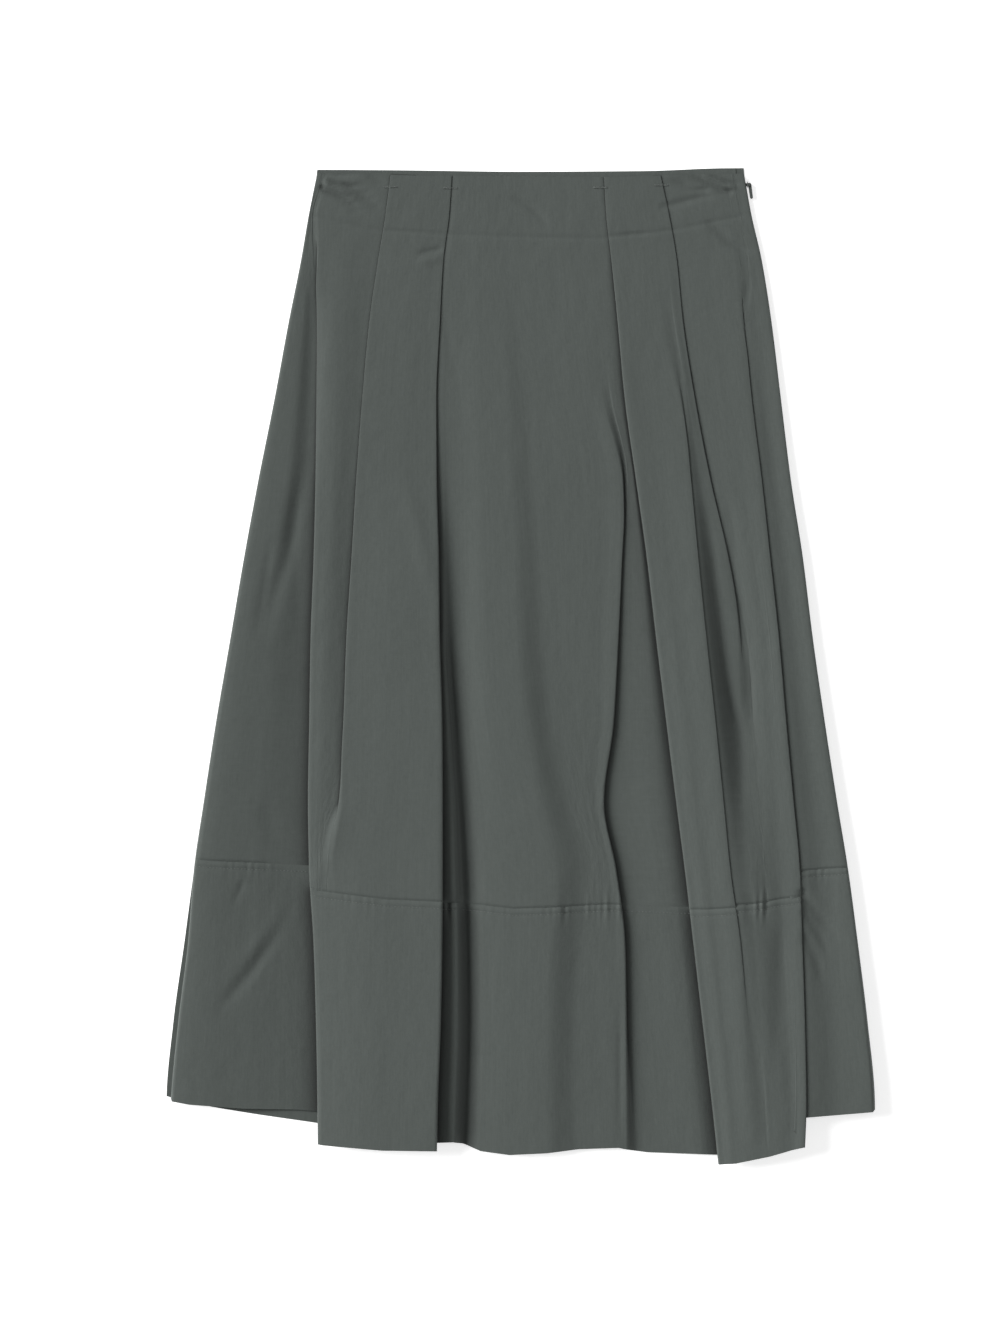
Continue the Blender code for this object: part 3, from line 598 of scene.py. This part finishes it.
def cloth(name, rows, lift=None, lowest=BACK_HEIGHT):
    """A sheet on a grid of rows of (across, drop, height) points in millimetres."""
    columns = len(rows[0]) - 1
    last = len(rows) - 1
    middle = np.array(rows[len(rows) // 2])
    widths = np.concatenate(([0.0], np.cumsum(np.linalg.norm(np.diff(middle, axis=0), axis=1))))
    points = np.array(rows, dtype=float)
    if lift is not None:
        points[:, :, 2] += lift(points[:, :, 0], points[:, :, 1], points[:, :, 2])
        points[:, :, 2] = np.maximum(points[:, :, 2], lowest)
    body = bmesh.new()
    bmesh.ops.create_grid(body, x_segments=columns, y_segments=last, size=1.0)
    weave = body.loops.layers.uv.new(POPLIN_LAYER)
    places = {}
    for vert in body.verts:
        column = round((vert.co.x + 1) / 2 * columns)
        row = round((1 - vert.co.y) / 2 * last)
        across, drop, height = points[row][column]
        places[vert] = (widths[column] * MM, -drop * MM)
        vert.co = (across * MM, (TOP_Y - drop) * MM, height * MM)
    for face in body.faces:
        for loop in face.loops:
            loop[weave].uv = places[loop.vert]
    for edge in body.edges:
        edge.smooth = not edge.is_boundary
    tree = BVHTree.FromBMesh(body)
    area = sum(face.calc_area() for face in body.faces)
    piece = smooth_object(name, body)
    wall = piece.modifiers.new("thickness", "SOLIDIFY")
    wall.thickness = CLOTH * MM
    wall.offset = 0.0
    wall.use_even_offset = False
    print(name, columns, "x", last, "quads,", round(area, 4), "m2,", round(widths[-1]), "mm wide")
    return piece, tree


# %% [markdown]
# ## The front, above the band
#
# The yoke has the finest creases, so its rows are closer together than the rest. The
# lowest rows roll down into the seam, as the cloth does where it is pulled under. The yoke
# stays above the facing and the rest above the back, and cloth that already lies low has
# less room for a crease.

# %% Front panel
LAYER_GAP = 0.15
ABOVE_BACK = BACK_HEIGHT + CLOTH + LAYER_GAP
FACING_HEIGHT = 1.3
ABOVE_FACING = FACING_HEIGHT + CLOTH + LAYER_GAP
YOKE_END = 0.15
FACING_END = 60.0
YOKE_ROWS = 58
LOWER_ROWS = 70
SEAM_START = 0.978
SEAM_OFFSETS = (0.9815, 0.985, 0.988, 0.991, 0.9935, 0.9955, 0.997, 0.998, 0.999, 1.0)
SEAM_DEPTH = 0.8
SEAM_ROLL = 1.2
PUCKER_RISE = 0.2
PUCKER_REACH = 10.0
LOW_HEIGHT = 1.6
FREE_RANGE = 3.0


def held_up(height):
    """0 for cloth that lies low, and 1 for cloth with room to move down."""
    return np.clip((height - LOW_HEIGHT) / FREE_RANGE, 0, 1)


def seam_relief(across, away, rise):
    """The roll into a seam and the puckers beside it, from distances from the seam."""
    return pucker(across, away, rise, PUCKER_REACH) - SEAM_DEPTH * np.exp(-(away / SEAM_ROLL) ** 2)


def upper_lift(across, drop, height):
    """Creases, seam and puckers of the panel, as far as the layer below lets it move."""
    away = drop[-1:, :] - drop
    lift = (relief(across, drop) + seam_relief(across, away, PUCKER_RISE)) * held_up(height)
    lowest = np.where(drop < FACING_END, ABOVE_FACING, ABOVE_BACK)
    return np.maximum(height + lift, lowest) - height


yoke = [YOKE_END * i / YOKE_ROWS for i in range(YOKE_ROWS)]
below = [mix(YOKE_END, SEAM_START, i / LOWER_ROWS) for i in range(LOWER_ROWS + 1)]
upper_plan = column_plan("upper")
upper_rows = [section("upper", t, upper_plan) for t in yoke + below + list(SEAM_OFFSETS)]
front_panel, panel_tree = cloth("front_panel_cloth", upper_rows, upper_lift, ABOVE_BACK)

# %% [markdown]
# ## The band
#
# The band's cloth is double, so it is a little stiffer and lies smoother than the panel,
# but its topstitched seam puckers, and the stitches press a groove. The first rows are
# close together, because seam, groove and puckers all lie there.

# %% Front band
BAND_ROWS = 42
BAND_START = 0.092
TOPSTITCH_SHARE = 0.0265
TOP_OFFSETS = (0, 0.004, 0.009, 0.015, 0.021, TOPSTITCH_SHARE, 0.032, 0.04, 0.05, 0.062, 0.076)
TOPSTITCH = 5.3
STITCH_GROOVE = 0.35
GROOVE_HALF = 1.0
BAND_PUCKER_RISE = 0.42


def band_lift(across, drop, height):
    """Creases, seam, puckers and the groove of the topstitching."""
    away = drop - drop[0:1, :]
    groove = STITCH_GROOVE * np.exp(-((away - TOPSTITCH) / GROOVE_HALF) ** 2)
    return (relief(across, drop) + seam_relief(across, away, BAND_PUCKER_RISE) - groove) * held_up(height)


band_fractions = list(TOP_OFFSETS) + [mix(BAND_START, 1, i / BAND_ROWS) for i in range(BAND_ROWS + 1)]
band_plan = column_plan("band")
band_rows = [section("band", t, band_plan) for t in band_fractions]
front_band, band_tree = cloth("front_band_cloth", band_rows, band_lift, ABOVE_BACK)

# %% [markdown]
# ## The back and the facing
#
# The back lies face down and flat, and only its edges show: at the left of the band, under
# the front's hem, and above the front's waist, where the facing inside it shows. Its edges
# curve, so the drop of a point depends on its place across, and its sides slant, so the
# place across depends on the drop. Three rounds from a rough guess settle both.

# %% Back pieces
BACK_ACROSS = (-290.6, -270, -225, -167, -100, 0, 100, 167, 225, 270, 290.6)
BACK_TOP = (1.6, 1.6, 1.6, 1.6, 2.0, 3.2, 2.6, 0.3, 0.0, 0.0, 0.0)
BACK_SEAM = (566, 567, 571, 577, 584, 589, 585, 579, 576, 573, 572)
BACK_HEM = (761, 766.5, 774.5, 783, 793, 797, 791, 782, 775, 770, 768)
BACK_COLUMNS = 120
BACK_ROWS = {"upper": 61, "band": 25}
FACING_ROWS = 13
BACK_GUESS = (-270, 270)
NO_INSETS = (0.0, 0.0)
ROUNDS = 3
FACING_DEPTH = 46.0
FACING_GUESS = (-160, 170)
FACING_INSETS = (1.5, 6.5)
FACING_STEP = 0.25


def flat_row(drop_at, height, guess, insets):
    """A level row from the left side to the right, whose drop is a function of the place."""
    row = []
    for i in range(BACK_COLUMNS + 1):
        share = i / BACK_COLUMNS
        across = mix(guess[0], guess[1], share)
        for _ in range(ROUNDS):
            drop = drop_at(across)
            left = line("back_left", drop) + insets[0]
            right = line("side_right", drop) - insets[1]
            across = mix(left, right, share)
        row.append((across, drop, height))
    return row


def back_rows(piece):
    """Rows of the upper back or its band."""
    def back_drop(across):
        lengths = [glide(BACK_ACROSS, edge, across) for edge in (BACK_TOP, BACK_SEAM, BACK_HEM)]
        return crossing(lengths, piece, t)

    rows = []
    for t in np.linspace(0, 1, BACK_ROWS[piece]):
        rows.append(flat_row(back_drop, BACK_HEIGHT, BACK_GUESS, NO_INSETS))
    return rows


def facing_rows():
    """Rows of the facing inside the back of the waist, as deep all the way along."""
    def facing_drop(across):
        return glide(BACK_ACROSS, BACK_TOP, across) + t * FACING_DEPTH

    rows = []
    for t in np.linspace(0, 1, FACING_ROWS):
        height = mix(BACK_HEIGHT + CLOTH, FACING_HEIGHT, ease(0, FACING_STEP, t))
        rows.append(flat_row(facing_drop, height, FACING_GUESS, FACING_INSETS))
    return rows


back_panel, _ = cloth("back_panel_cloth", back_rows("upper"))
back_band, _ = cloth("back_band_cloth", back_rows("band"))
back_facing, _ = cloth("back_facing_cloth", facing_rows())

# %% [markdown]
# ## Thread
#
# Every stitch is a short thread that dips into the cloth at both ends, so a stretched
# sphere is close enough at this size. One helper lays stitches along a path, and finds the
# cloth under each one by dropping a ray onto it. Where the two ends of a stitch land on
# different layers of a fold, it would hang in the air, and it is left out.

# %% Stitches
THREAD = 0.22
THREAD_LIFT = 0.3
RAY_REACH = 1.6
LONGEST_STITCH = 1.6
STITCH_OVERLAP = 1.08
TOPSTITCH_LENGTH = 2.2
TOPSTITCH_GAP = 0.7
Stitch = namedtuple("Stitch", "middle along length")


def surface_under(tree, across, drop, height):
    """The place on a sheet straight below a height, in metres, and the way it faces there."""
    hit = tree.ray_cast(Vector((across * MM, (TOP_Y - drop) * MM, height * MM)), Vector((0, 0, -1)))
    return hit[0], hit[1]


def stitch_between(ends):
    return Stitch((ends[0] + ends[1]) / 2, ends[1] - ends[0], (ends[1] - ends[0]).length)


def along_path(path, tree, length, gap):
    """Stitches along a path of (across, drop, height) points that lie on a sheet."""
    points = np.array(path, dtype=float)
    steps = np.linalg.norm(np.diff(points[:, :2], axis=0), axis=1)
    walked = np.concatenate(([0.0], np.cumsum(steps)))
    lift = (CLOTH / 2 + THREAD * THREAD_LIFT) * MM
    made = []
    at = gap
    while at + length < walked[-1]:
        ends = []
        for place in (at, at + length):
            across, drop, height = (float(np.interp(place, walked, points[:, k])) for k in range(3))
            spot, normal = surface_under(tree, across, drop, height + RAY_REACH)
            if spot is not None:
                ends.append(spot + normal * math.copysign(lift, normal.z))
        if len(ends) == 2 and (ends[1] - ends[0]).length < length * LONGEST_STITCH * MM:
            made.append(stitch_between(ends))
        at += length + gap
    return made


def sew(name, stitches, thickness=THREAD):
    """One mesh with a stretched sphere for each stitch."""
    body = bmesh.new()
    for stitch in stitches:
        turn = stitch.along.to_track_quat("X", "Z").to_matrix().to_4x4()
        half = stitch.length / 2 * STITCH_OVERLAP
        size = Matrix.Diagonal((half, thickness * MM, thickness * MM, 1.0))
        bmesh.ops.create_uvsphere(body, u_segments=6, v_segments=4, radius=1.0,
                                  matrix=Matrix.Translation(stitch.middle) @ turn @ size)
    print(name, len(stitches), "stitches")
    return smooth_object(name, body)


topstitch_row = section("band", TOPSTITCH_SHARE, band_plan)
topstitches = along_path(topstitch_row, band_tree, TOPSTITCH_LENGTH, TOPSTITCH_GAP)
topstitch = sew("band_topstitch", topstitches)

# %% [markdown]
# ## Bar tacks
#
# A pleat is held at the waist by a bar tack: a few long threads side by side, sewn over
# with short ones across. Only the short ones show, so only they are made. The four tacks
# sit on the edges of the two raised strips.

# %% Four bar tacks
TACK_LENGTH = 11.0
TACK_BITE = 1.0
TACK_SLANT = 0.25
TACK_THREADS = 15
TACK_LIFT = 0.4
HEAVY_THREAD = 0.3
ABOVE_ALL = 20
TACKS = ((-107, 16), (-58, 17), (65, 16.5), (115, 14.5))
above_cloth = Vector((0, 0, (CLOTH / 2 + THREAD * TACK_LIFT) * MM))
tack_stitches = []
for across, drop in TACKS:
    for k in range(TACK_THREADS):
        place = across + (k / (TACK_THREADS - 1) - 0.5) * TACK_LENGTH
        ends = []
        for side in (-1, 1):
            spot, _ = surface_under(panel_tree, place + side * TACK_SLANT, drop + side * TACK_BITE, ABOVE_ALL)
            ends.append(spot + above_cloth)
        tack_stitches.append(stitch_between(ends))
bar_tacks = sew("bar_tacks", tack_stitches, HEAVY_THREAD)

# %% [markdown]
# ## The zip
#
# The zip lies closed inside the seam at the right of the picture, so little of it shows. Its
# slider and pull tab are cast metal, whose edges are never sharp. A copy of each solid with
# its edges bevelled gives that, and keeps the size and the place. The copy's triangles are
# joined into whole faces first, so that only real edges are rounded.

# %% Slider and pull tab
WELD = 1e-6
FLAT_ANGLE = 1
SHARP_ANGLE = 35
SLIDER_BEVEL = 0.12
TAB_BEVEL = 0.15


def softened(node, width):
    """A copy of a CAD node's mesh with its sharp edges rounded."""
    body = bmesh.new()
    body.from_mesh(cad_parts[node].data)
    bmesh.ops.remove_doubles(body, verts=body.verts[:], dist=WELD)
    bmesh.ops.dissolve_limit(body, angle_limit=math.radians(FLAT_ANGLE), verts=body.verts[:],
                             edges=body.edges[:])
    shared = [edge for edge in body.edges if len(edge.link_faces) == 2]
    sharp = [edge for edge in shared if edge.calc_face_angle() > math.radians(SHARP_ANGLE)]
    bmesh.ops.bevel(body, geom=sharp, offset=width * MM, segments=2, profile=0.5, affect="EDGES", material=-1)
    print(node, len(body.faces), "faces")
    return smooth_object(node + "_soft", body)


slider = softened("zip_slider", SLIDER_BEVEL)
pull = softened("zip_pull", TAB_BEVEL)

# %% [markdown]
# ## Coils of the zip
#
# The chain of this kind of zip is a fine nylon coil. Closed, it looks like a row of short
# bars across the seam, so the helper for stitches makes them too, on the chain's solid.

# %% Zip coils
COIL_PITCH = 1.0
COIL_LENGTH = 2.6
CHAIN_TOP = 18.5
CHAIN_END = 204
CHAIN_INSET = 3.4
COIL_HEIGHT = 2.42
coil_along = Vector((COIL_LENGTH * MM, 0, 0))
coils = []
for drop in np.arange(CHAIN_TOP, CHAIN_END, COIL_PITCH):
    centre = line("side_right", drop) - CHAIN_INSET
    middle = Vector((centre * MM, (TOP_Y - drop) * MM, COIL_HEIGHT * MM))
    coils.append(Stitch(middle, coil_along, COIL_LENGTH * MM))
zip_coils = sew("zip_coils", coils, HEAVY_THREAD)

# %% [markdown]
# ## Materials
#
# A finish is a short sum: some of this noise, a little of that one. As a web of nodes it is
# hard to read, so a small class wraps a socket and lets the maths be written as a sum, and
# a second class adds the nodes to one material.

# %% Node helpers
COLOUR_A = 6
COLOUR_B = 7
COLOUR_RESULT = 2


class Amount:
    """A number from a node, so that maths on it adds Math nodes."""

    def __init__(self, finish, socket):
        self.finish = finish
        self.socket = socket

    def maths(self, operation, first, second):
        return self.finish.node("ShaderNodeMath", {"operation": operation}, {0: first, 1: second})

    def __add__(self, other):
        return self.maths("ADD", self, other)

    def __radd__(self, other):
        return self.maths("ADD", other, self)

    def __sub__(self, other):
        return self.maths("SUBTRACT", self, other)

    def __mul__(self, other):
        return self.maths("MULTIPLY", self, other)


class Finish:
    """A material, with methods that add nodes to it."""

    def __init__(self, name):
        self.material = bpy.data.materials.new(name)
        self.material.use_nodes = True
        self.tree = self.material.node_tree
        self.shader = self.tree.nodes["Principled BSDF"]

    def link(self, value, socket):
        if isinstance(value, Amount):
            self.tree.links.new(value.socket, socket)
        else:
            socket.default_value = value

    def node(self, kind, settings, inputs, output=0):
        """Add a node, and hand back one of its outputs, by number or by name."""
        made = self.tree.nodes.new(kind)
        for key, value in settings.items():
            setattr(made, key, value)
        for key, value in inputs.items():
            self.link(value, made.inputs[key])
        return Amount(self, made.outputs[output])

    def blend(self, share, first, second):
        """Mix two colours. A Mix node has sockets for numbers too, so these go by number."""
        return self.node("ShaderNodeMix", {"data_type": "RGBA"},
                         {"Factor": share, COLOUR_A: first, COLOUR_B: second}, COLOUR_RESULT)

    def bump(self, height, strength, depth, **below):
        """Relief from a height, with its depth in millimetres, on top of a Normal below."""
        inputs = {"Height": height, "Strength": strength, "Distance": depth * MM}
        return self.node("ShaderNodeBump", {}, {**inputs, **below})

    def set(self, **sockets):
        for key, value in sockets.items():
            self.link(value, self.shader.inputs[key.replace("_", " ")])


# %% [markdown]
# ## Poplin
#
# Poplin is a fine plain weave. Warp threads run down the piece and weft threads across it,
# each a noise stretched along the map of the sheet, and now and then a thicker thread, a
# slub, makes a faint streak. Wider noises give the mottle of the cotton, its clouds and its
# small crinkles, which only tilt the surface.
#
# Cloth that other cloth closes in gets darker than two lamps make it, so shade is painted into
# its colour there. An Ambient Occlusion node that looks only at the sheet itself says how open
# each place is, and the colour goes towards a painted deep shade where a fold is shut.

# %% Poplin
Grain = namedtuple("Grain", "name across down detail share")
GRAINS = (
    Grain("slub", 1.6, 70.0, 3.0, 0.45),
    Grain("warp", 0.42, 9.0, 2.0, 0.5),
    Grain("weft", 9.0, 0.42, 2.0, 0.35),
    Grain("mottle", 2.4, 3.6, 3.0, 0.4),
    Grain("cloud", 60.0, 90.0, 2.0, 0.2),
)
CRINKLE = Grain("crinkle", 13.0, 19.0, 3.0, 0.0)
CRINKLE_DEPTH = 0.45
WEAVE_DEPTH = 0.12
WEAVE_STRENGTH = 0.35
SLUB_RISE = 0.5
SHADE_DARK = (0.063, 0.074, 0.068, 1.0)
SHADE_LIGHT = (0.087, 0.1005, 0.093, 1.0)
# painted shade: the near-black colour that the cloth is painted towards where its folds shut a place in, and
# how far and how strongly that painted shade reaches
PAINTED_FOLD_SHADE = (0.006, 0.007, 0.0065, 1.0)
SHADE_PAINT_REACH = 0.025
SHADE_PAINT_SHUT = 0.3
SHADE_PAINT_OPEN = 0.95
SHADE_PAINT_POWER = 1.7


def streaks(finish, uv, grain):
    """Noise stretched along the cloth, with its grain's size in millimetres each way."""
    scale = (1 / (grain.across * MM), 1 / (grain.down * MM), 1.0)
    mapped = finish.node("ShaderNodeMapping", {"vector_type": "POINT"}, {"Vector": uv, "Scale": scale})
    return finish.node("ShaderNodeTexNoise", {"noise_dimensions": "2D"},
                       {"Vector": mapped, "Scale": 1.0, "Detail": grain.detail, "Roughness": 0.5})


def woven_relief(finish, uv, threads):
    """A bump of the threads on top of a softer one of the crinkles."""
    soft = finish.bump(streaks(finish, uv, CRINKLE), 1.0, CRINKLE_DEPTH)
    height = threads["warp"] + threads["weft"] + threads["slub"] * SLUB_RISE
    return finish.bump(height, WEAVE_STRENGTH, WEAVE_DEPTH, Normal=soft)


def painted_shade_mask(finish):
    """Mask of the painted shade: 0 where the sheet's own folds shut a place in, and 1 where it lies open."""
    open_share = finish.node("ShaderNodeAmbientOcclusion", {"samples": 8, "only_local": True},
                             {"Distance": SHADE_PAINT_REACH}, "AO")
    light = finish.node("ShaderNodeMapRange", {"clamp": True},
                        {"Value": open_share, "From Min": SHADE_PAINT_SHUT, "From Max": SHADE_PAINT_OPEN})
    return light.maths("POWER", light, SHADE_PAINT_POWER)


def poplin(name):
    finish = Finish(name)
    uv = finish.node("ShaderNodeUVMap", {"uv_map": POPLIN_LAYER}, {})
    threads = {}
    tone = 0.5
    for grain in GRAINS:
        threads[grain.name] = streaks(finish, uv, grain)
        tone = tone + (threads[grain.name] - 0.5) * grain.share
    lit = finish.blend(tone, SHADE_DARK, SHADE_LIGHT)
    # painted shade: the colour goes towards a deep shade where the sheet's own folds close a place in
    colour = finish.blend(painted_shade_mask(finish), PAINTED_FOLD_SHADE, lit)
    finish.set(Base_Color=colour, Roughness=0.82, Normal=woven_relief(finish, uv, threads),
               Sheen_Weight=0.08, Sheen_Roughness=0.5)
    return finish.material


cloth_finish = poplin("poplin_cloth")
print(cloth_finish.name, "has", len(cloth_finish.node_tree.nodes), "nodes")

# %% [markdown]
# ## Thread, nylon and lacquer
#
# The small parts are plain: one colour, dark like the cloth, with a fine grain that makes
# it a little uneven. One function serves all three, with its own colour, gloss and grain.

# %% Thread, coil and metal
GRAIN_DARK = 0.85
GRAIN_LIGHT = 1.15
GRAIN_DEPTH = 0.05
GRAIN_STRENGTH = 0.2


def plain_finish(name, colour, roughness, metallic, grain):
    """A finish with a fine grain, of a size in millimetres, in its colour and its relief."""
    finish = Finish(name)
    place = finish.node("ShaderNodeTexCoord", {}, {}, "Object")
    noise = finish.node("ShaderNodeTexNoise", {}, {"Vector": place, "Scale": 1 / (grain * MM), "Detail": 3.0})
    low = tuple(GRAIN_DARK * c for c in colour) + (1.0,)
    high = tuple(GRAIN_LIGHT * c for c in colour) + (1.0,)
    finish.set(Base_Color=finish.blend(noise, low, high), Roughness=roughness, Metallic=metallic,
               Normal=finish.bump(noise, GRAIN_STRENGTH, GRAIN_DEPTH))
    return finish.material


thread_finish = plain_finish("sewing_thread", (0.12, 0.135, 0.127), roughness=0.5, metallic=0.0, grain=0.3)
coil_finish = plain_finish("zip_coil", (0.05, 0.058, 0.054), roughness=0.5, metallic=0.0, grain=0.4)
metal_finish = plain_finish("zip_metal_paint", (0.08, 0.09, 0.085), roughness=0.4, metallic=0.2, grain=0.5)
print("materials:", [m.name for m in bpy.data.materials])

# %% [markdown]
# ## Everything in its place
#
# Each new piece rides on a body of the frame, so that it moves with it. The cloth and the
# metal stand for a solid each, which is then left out of the picture. The sewing and the
# coils are extra, and the chain keeps its own solid under them.

# %% Ride and replace
DRESS = (
    (front_panel, "skirt", "front_panel", "poplin", cloth_finish),
    (front_band, "skirt", "front_band", "poplin", cloth_finish),
    (back_panel, "skirt", "back_panel", "poplin", cloth_finish),
    (back_band, "skirt", "back_band", "poplin", cloth_finish),
    (back_facing, "skirt", "back_facing", "poplin", cloth_finish),
    (slider, "skirt", "zip_slider", "zip_metal", metal_finish),
    (pull, "pull_tab", "zip_pull", "zip_metal", metal_finish),
    (topstitch, "skirt", None, "poplin", thread_finish),
    (bar_tacks, "skirt", None, "poplin", thread_finish),
    (zip_coils, "skirt", None, "zip_tape", coil_finish),
)
for piece, body, node, slot, material in DRESS:
    piece.data.materials.append(material)
    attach(piece, body)
    if node:
        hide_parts(node)
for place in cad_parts["zip_chain"].material_slots:
    place.material = coil_finish
print(len(DRESS), "new pieces")

# %% [markdown]
# ## The sizes of the sheets
#
# Every sheet says how large it is when it is made: its area, in square metres, and its width,
# in millimetres. The sizes are those of the cloth as it is drawn here.

print("sheets: front panel, front band, back panel, back band and facing")

# %% [markdown]
# ## Floor
#
# The photograph shows the skirt cut out on white. A large floor that is a little bright of
# its own gives that, and a faint white world lights the places that no lamp reaches.

# %% Floor and world
FLOOR = 6.0
FLOOR_GLOW = 0.6
WORLD_GLOW = 0.25
WHITE = (1.0, 1.0, 1.0, 1.0)
floor_body = bmesh.new()
bmesh.ops.create_grid(floor_body, x_segments=1, y_segments=1, size=FLOOR)
floor = smooth_object("floor", floor_body)
white = Finish("white_floor")
white.set(Base_Color=(0.93, 0.93, 0.93, 1.0), Roughness=0.9, Emission_Color=WHITE,
          Emission_Strength=FLOOR_GLOW)
floor.data.materials.append(white.material)

world = bpy.data.worlds.new("soft_white")
world.use_nodes = True
sky = world.node_tree.nodes["Background"]
sky.inputs["Color"].default_value = WHITE
sky.inputs["Strength"].default_value = WORLD_GLOW
bpy.context.scene.world = world
print("floor", 2 * FLOOR, "m wide, world", WORLD_GLOW)

# %% [markdown]
# ## Light
#
# In the photograph the left edge of each raised strip is bright and a soft shadow lies to
# its right, so the light comes mostly from the left, and low. A weak light from the right
# keeps those shadows open. Suns are used, because they light the whole skirt alike, and
# their spread makes the shadows soft.

# %% Two suns
def sun(name, azimuth, elevation, spread, strength):
    """A soft light from far away, so that every part of the skirt gets the same."""
    light = bpy.data.lights.new(name, "SUN")
    light.angle = math.radians(spread)
    light.energy = strength
    turn, rise = math.radians(azimuth), math.radians(elevation)
    towards = Vector((math.cos(turn) * math.cos(rise), math.sin(turn) * math.cos(rise), math.sin(rise)))
    placed(name, light).rotation_euler = towards.to_track_quat("Z", "Y").to_euler()
    print(name, "at azimuth", azimuth, "and elevation", elevation)


sun("key_left", azimuth=160, elevation=27, spread=32, strength=4.3)
sun("fill_right", azimuth=0, elevation=24, spread=26, strength=0.65)

# %% [markdown]
# ## Camera
#
# The camera looks straight down from far away, as in the photograph, where no side of the
# skirt leans. Its lens is worked out from how much of the floor the picture shows: its
# height in pixels times the size of a pixel on the skirt.

# %% Camera
PHOTO_HEIGHT = 1334
PIXEL_SIZE = 0.82
VIEW_HEIGHT = PHOTO_HEIGHT * PIXEL_SIZE * MM
VIEW_CENTRE = (-17.2 * MM, -1.1 * MM)
DISTANCE = 4.0
SENSOR = 24.0
camera_data = bpy.data.cameras.new("camera")
camera_data.sensor_fit = "VERTICAL"
camera_data.sensor_height = SENSOR
camera_data.lens = SENSOR * DISTANCE / VIEW_HEIGHT
camera = placed("camera", camera_data)
camera.location = (VIEW_CENTRE[0], VIEW_CENTRE[1], DISTANCE)
bpy.context.scene.camera = camera
bpy.context.scene.view_settings.view_transform = "Standard"
print("lens", round(camera_data.lens, 1), "mm")
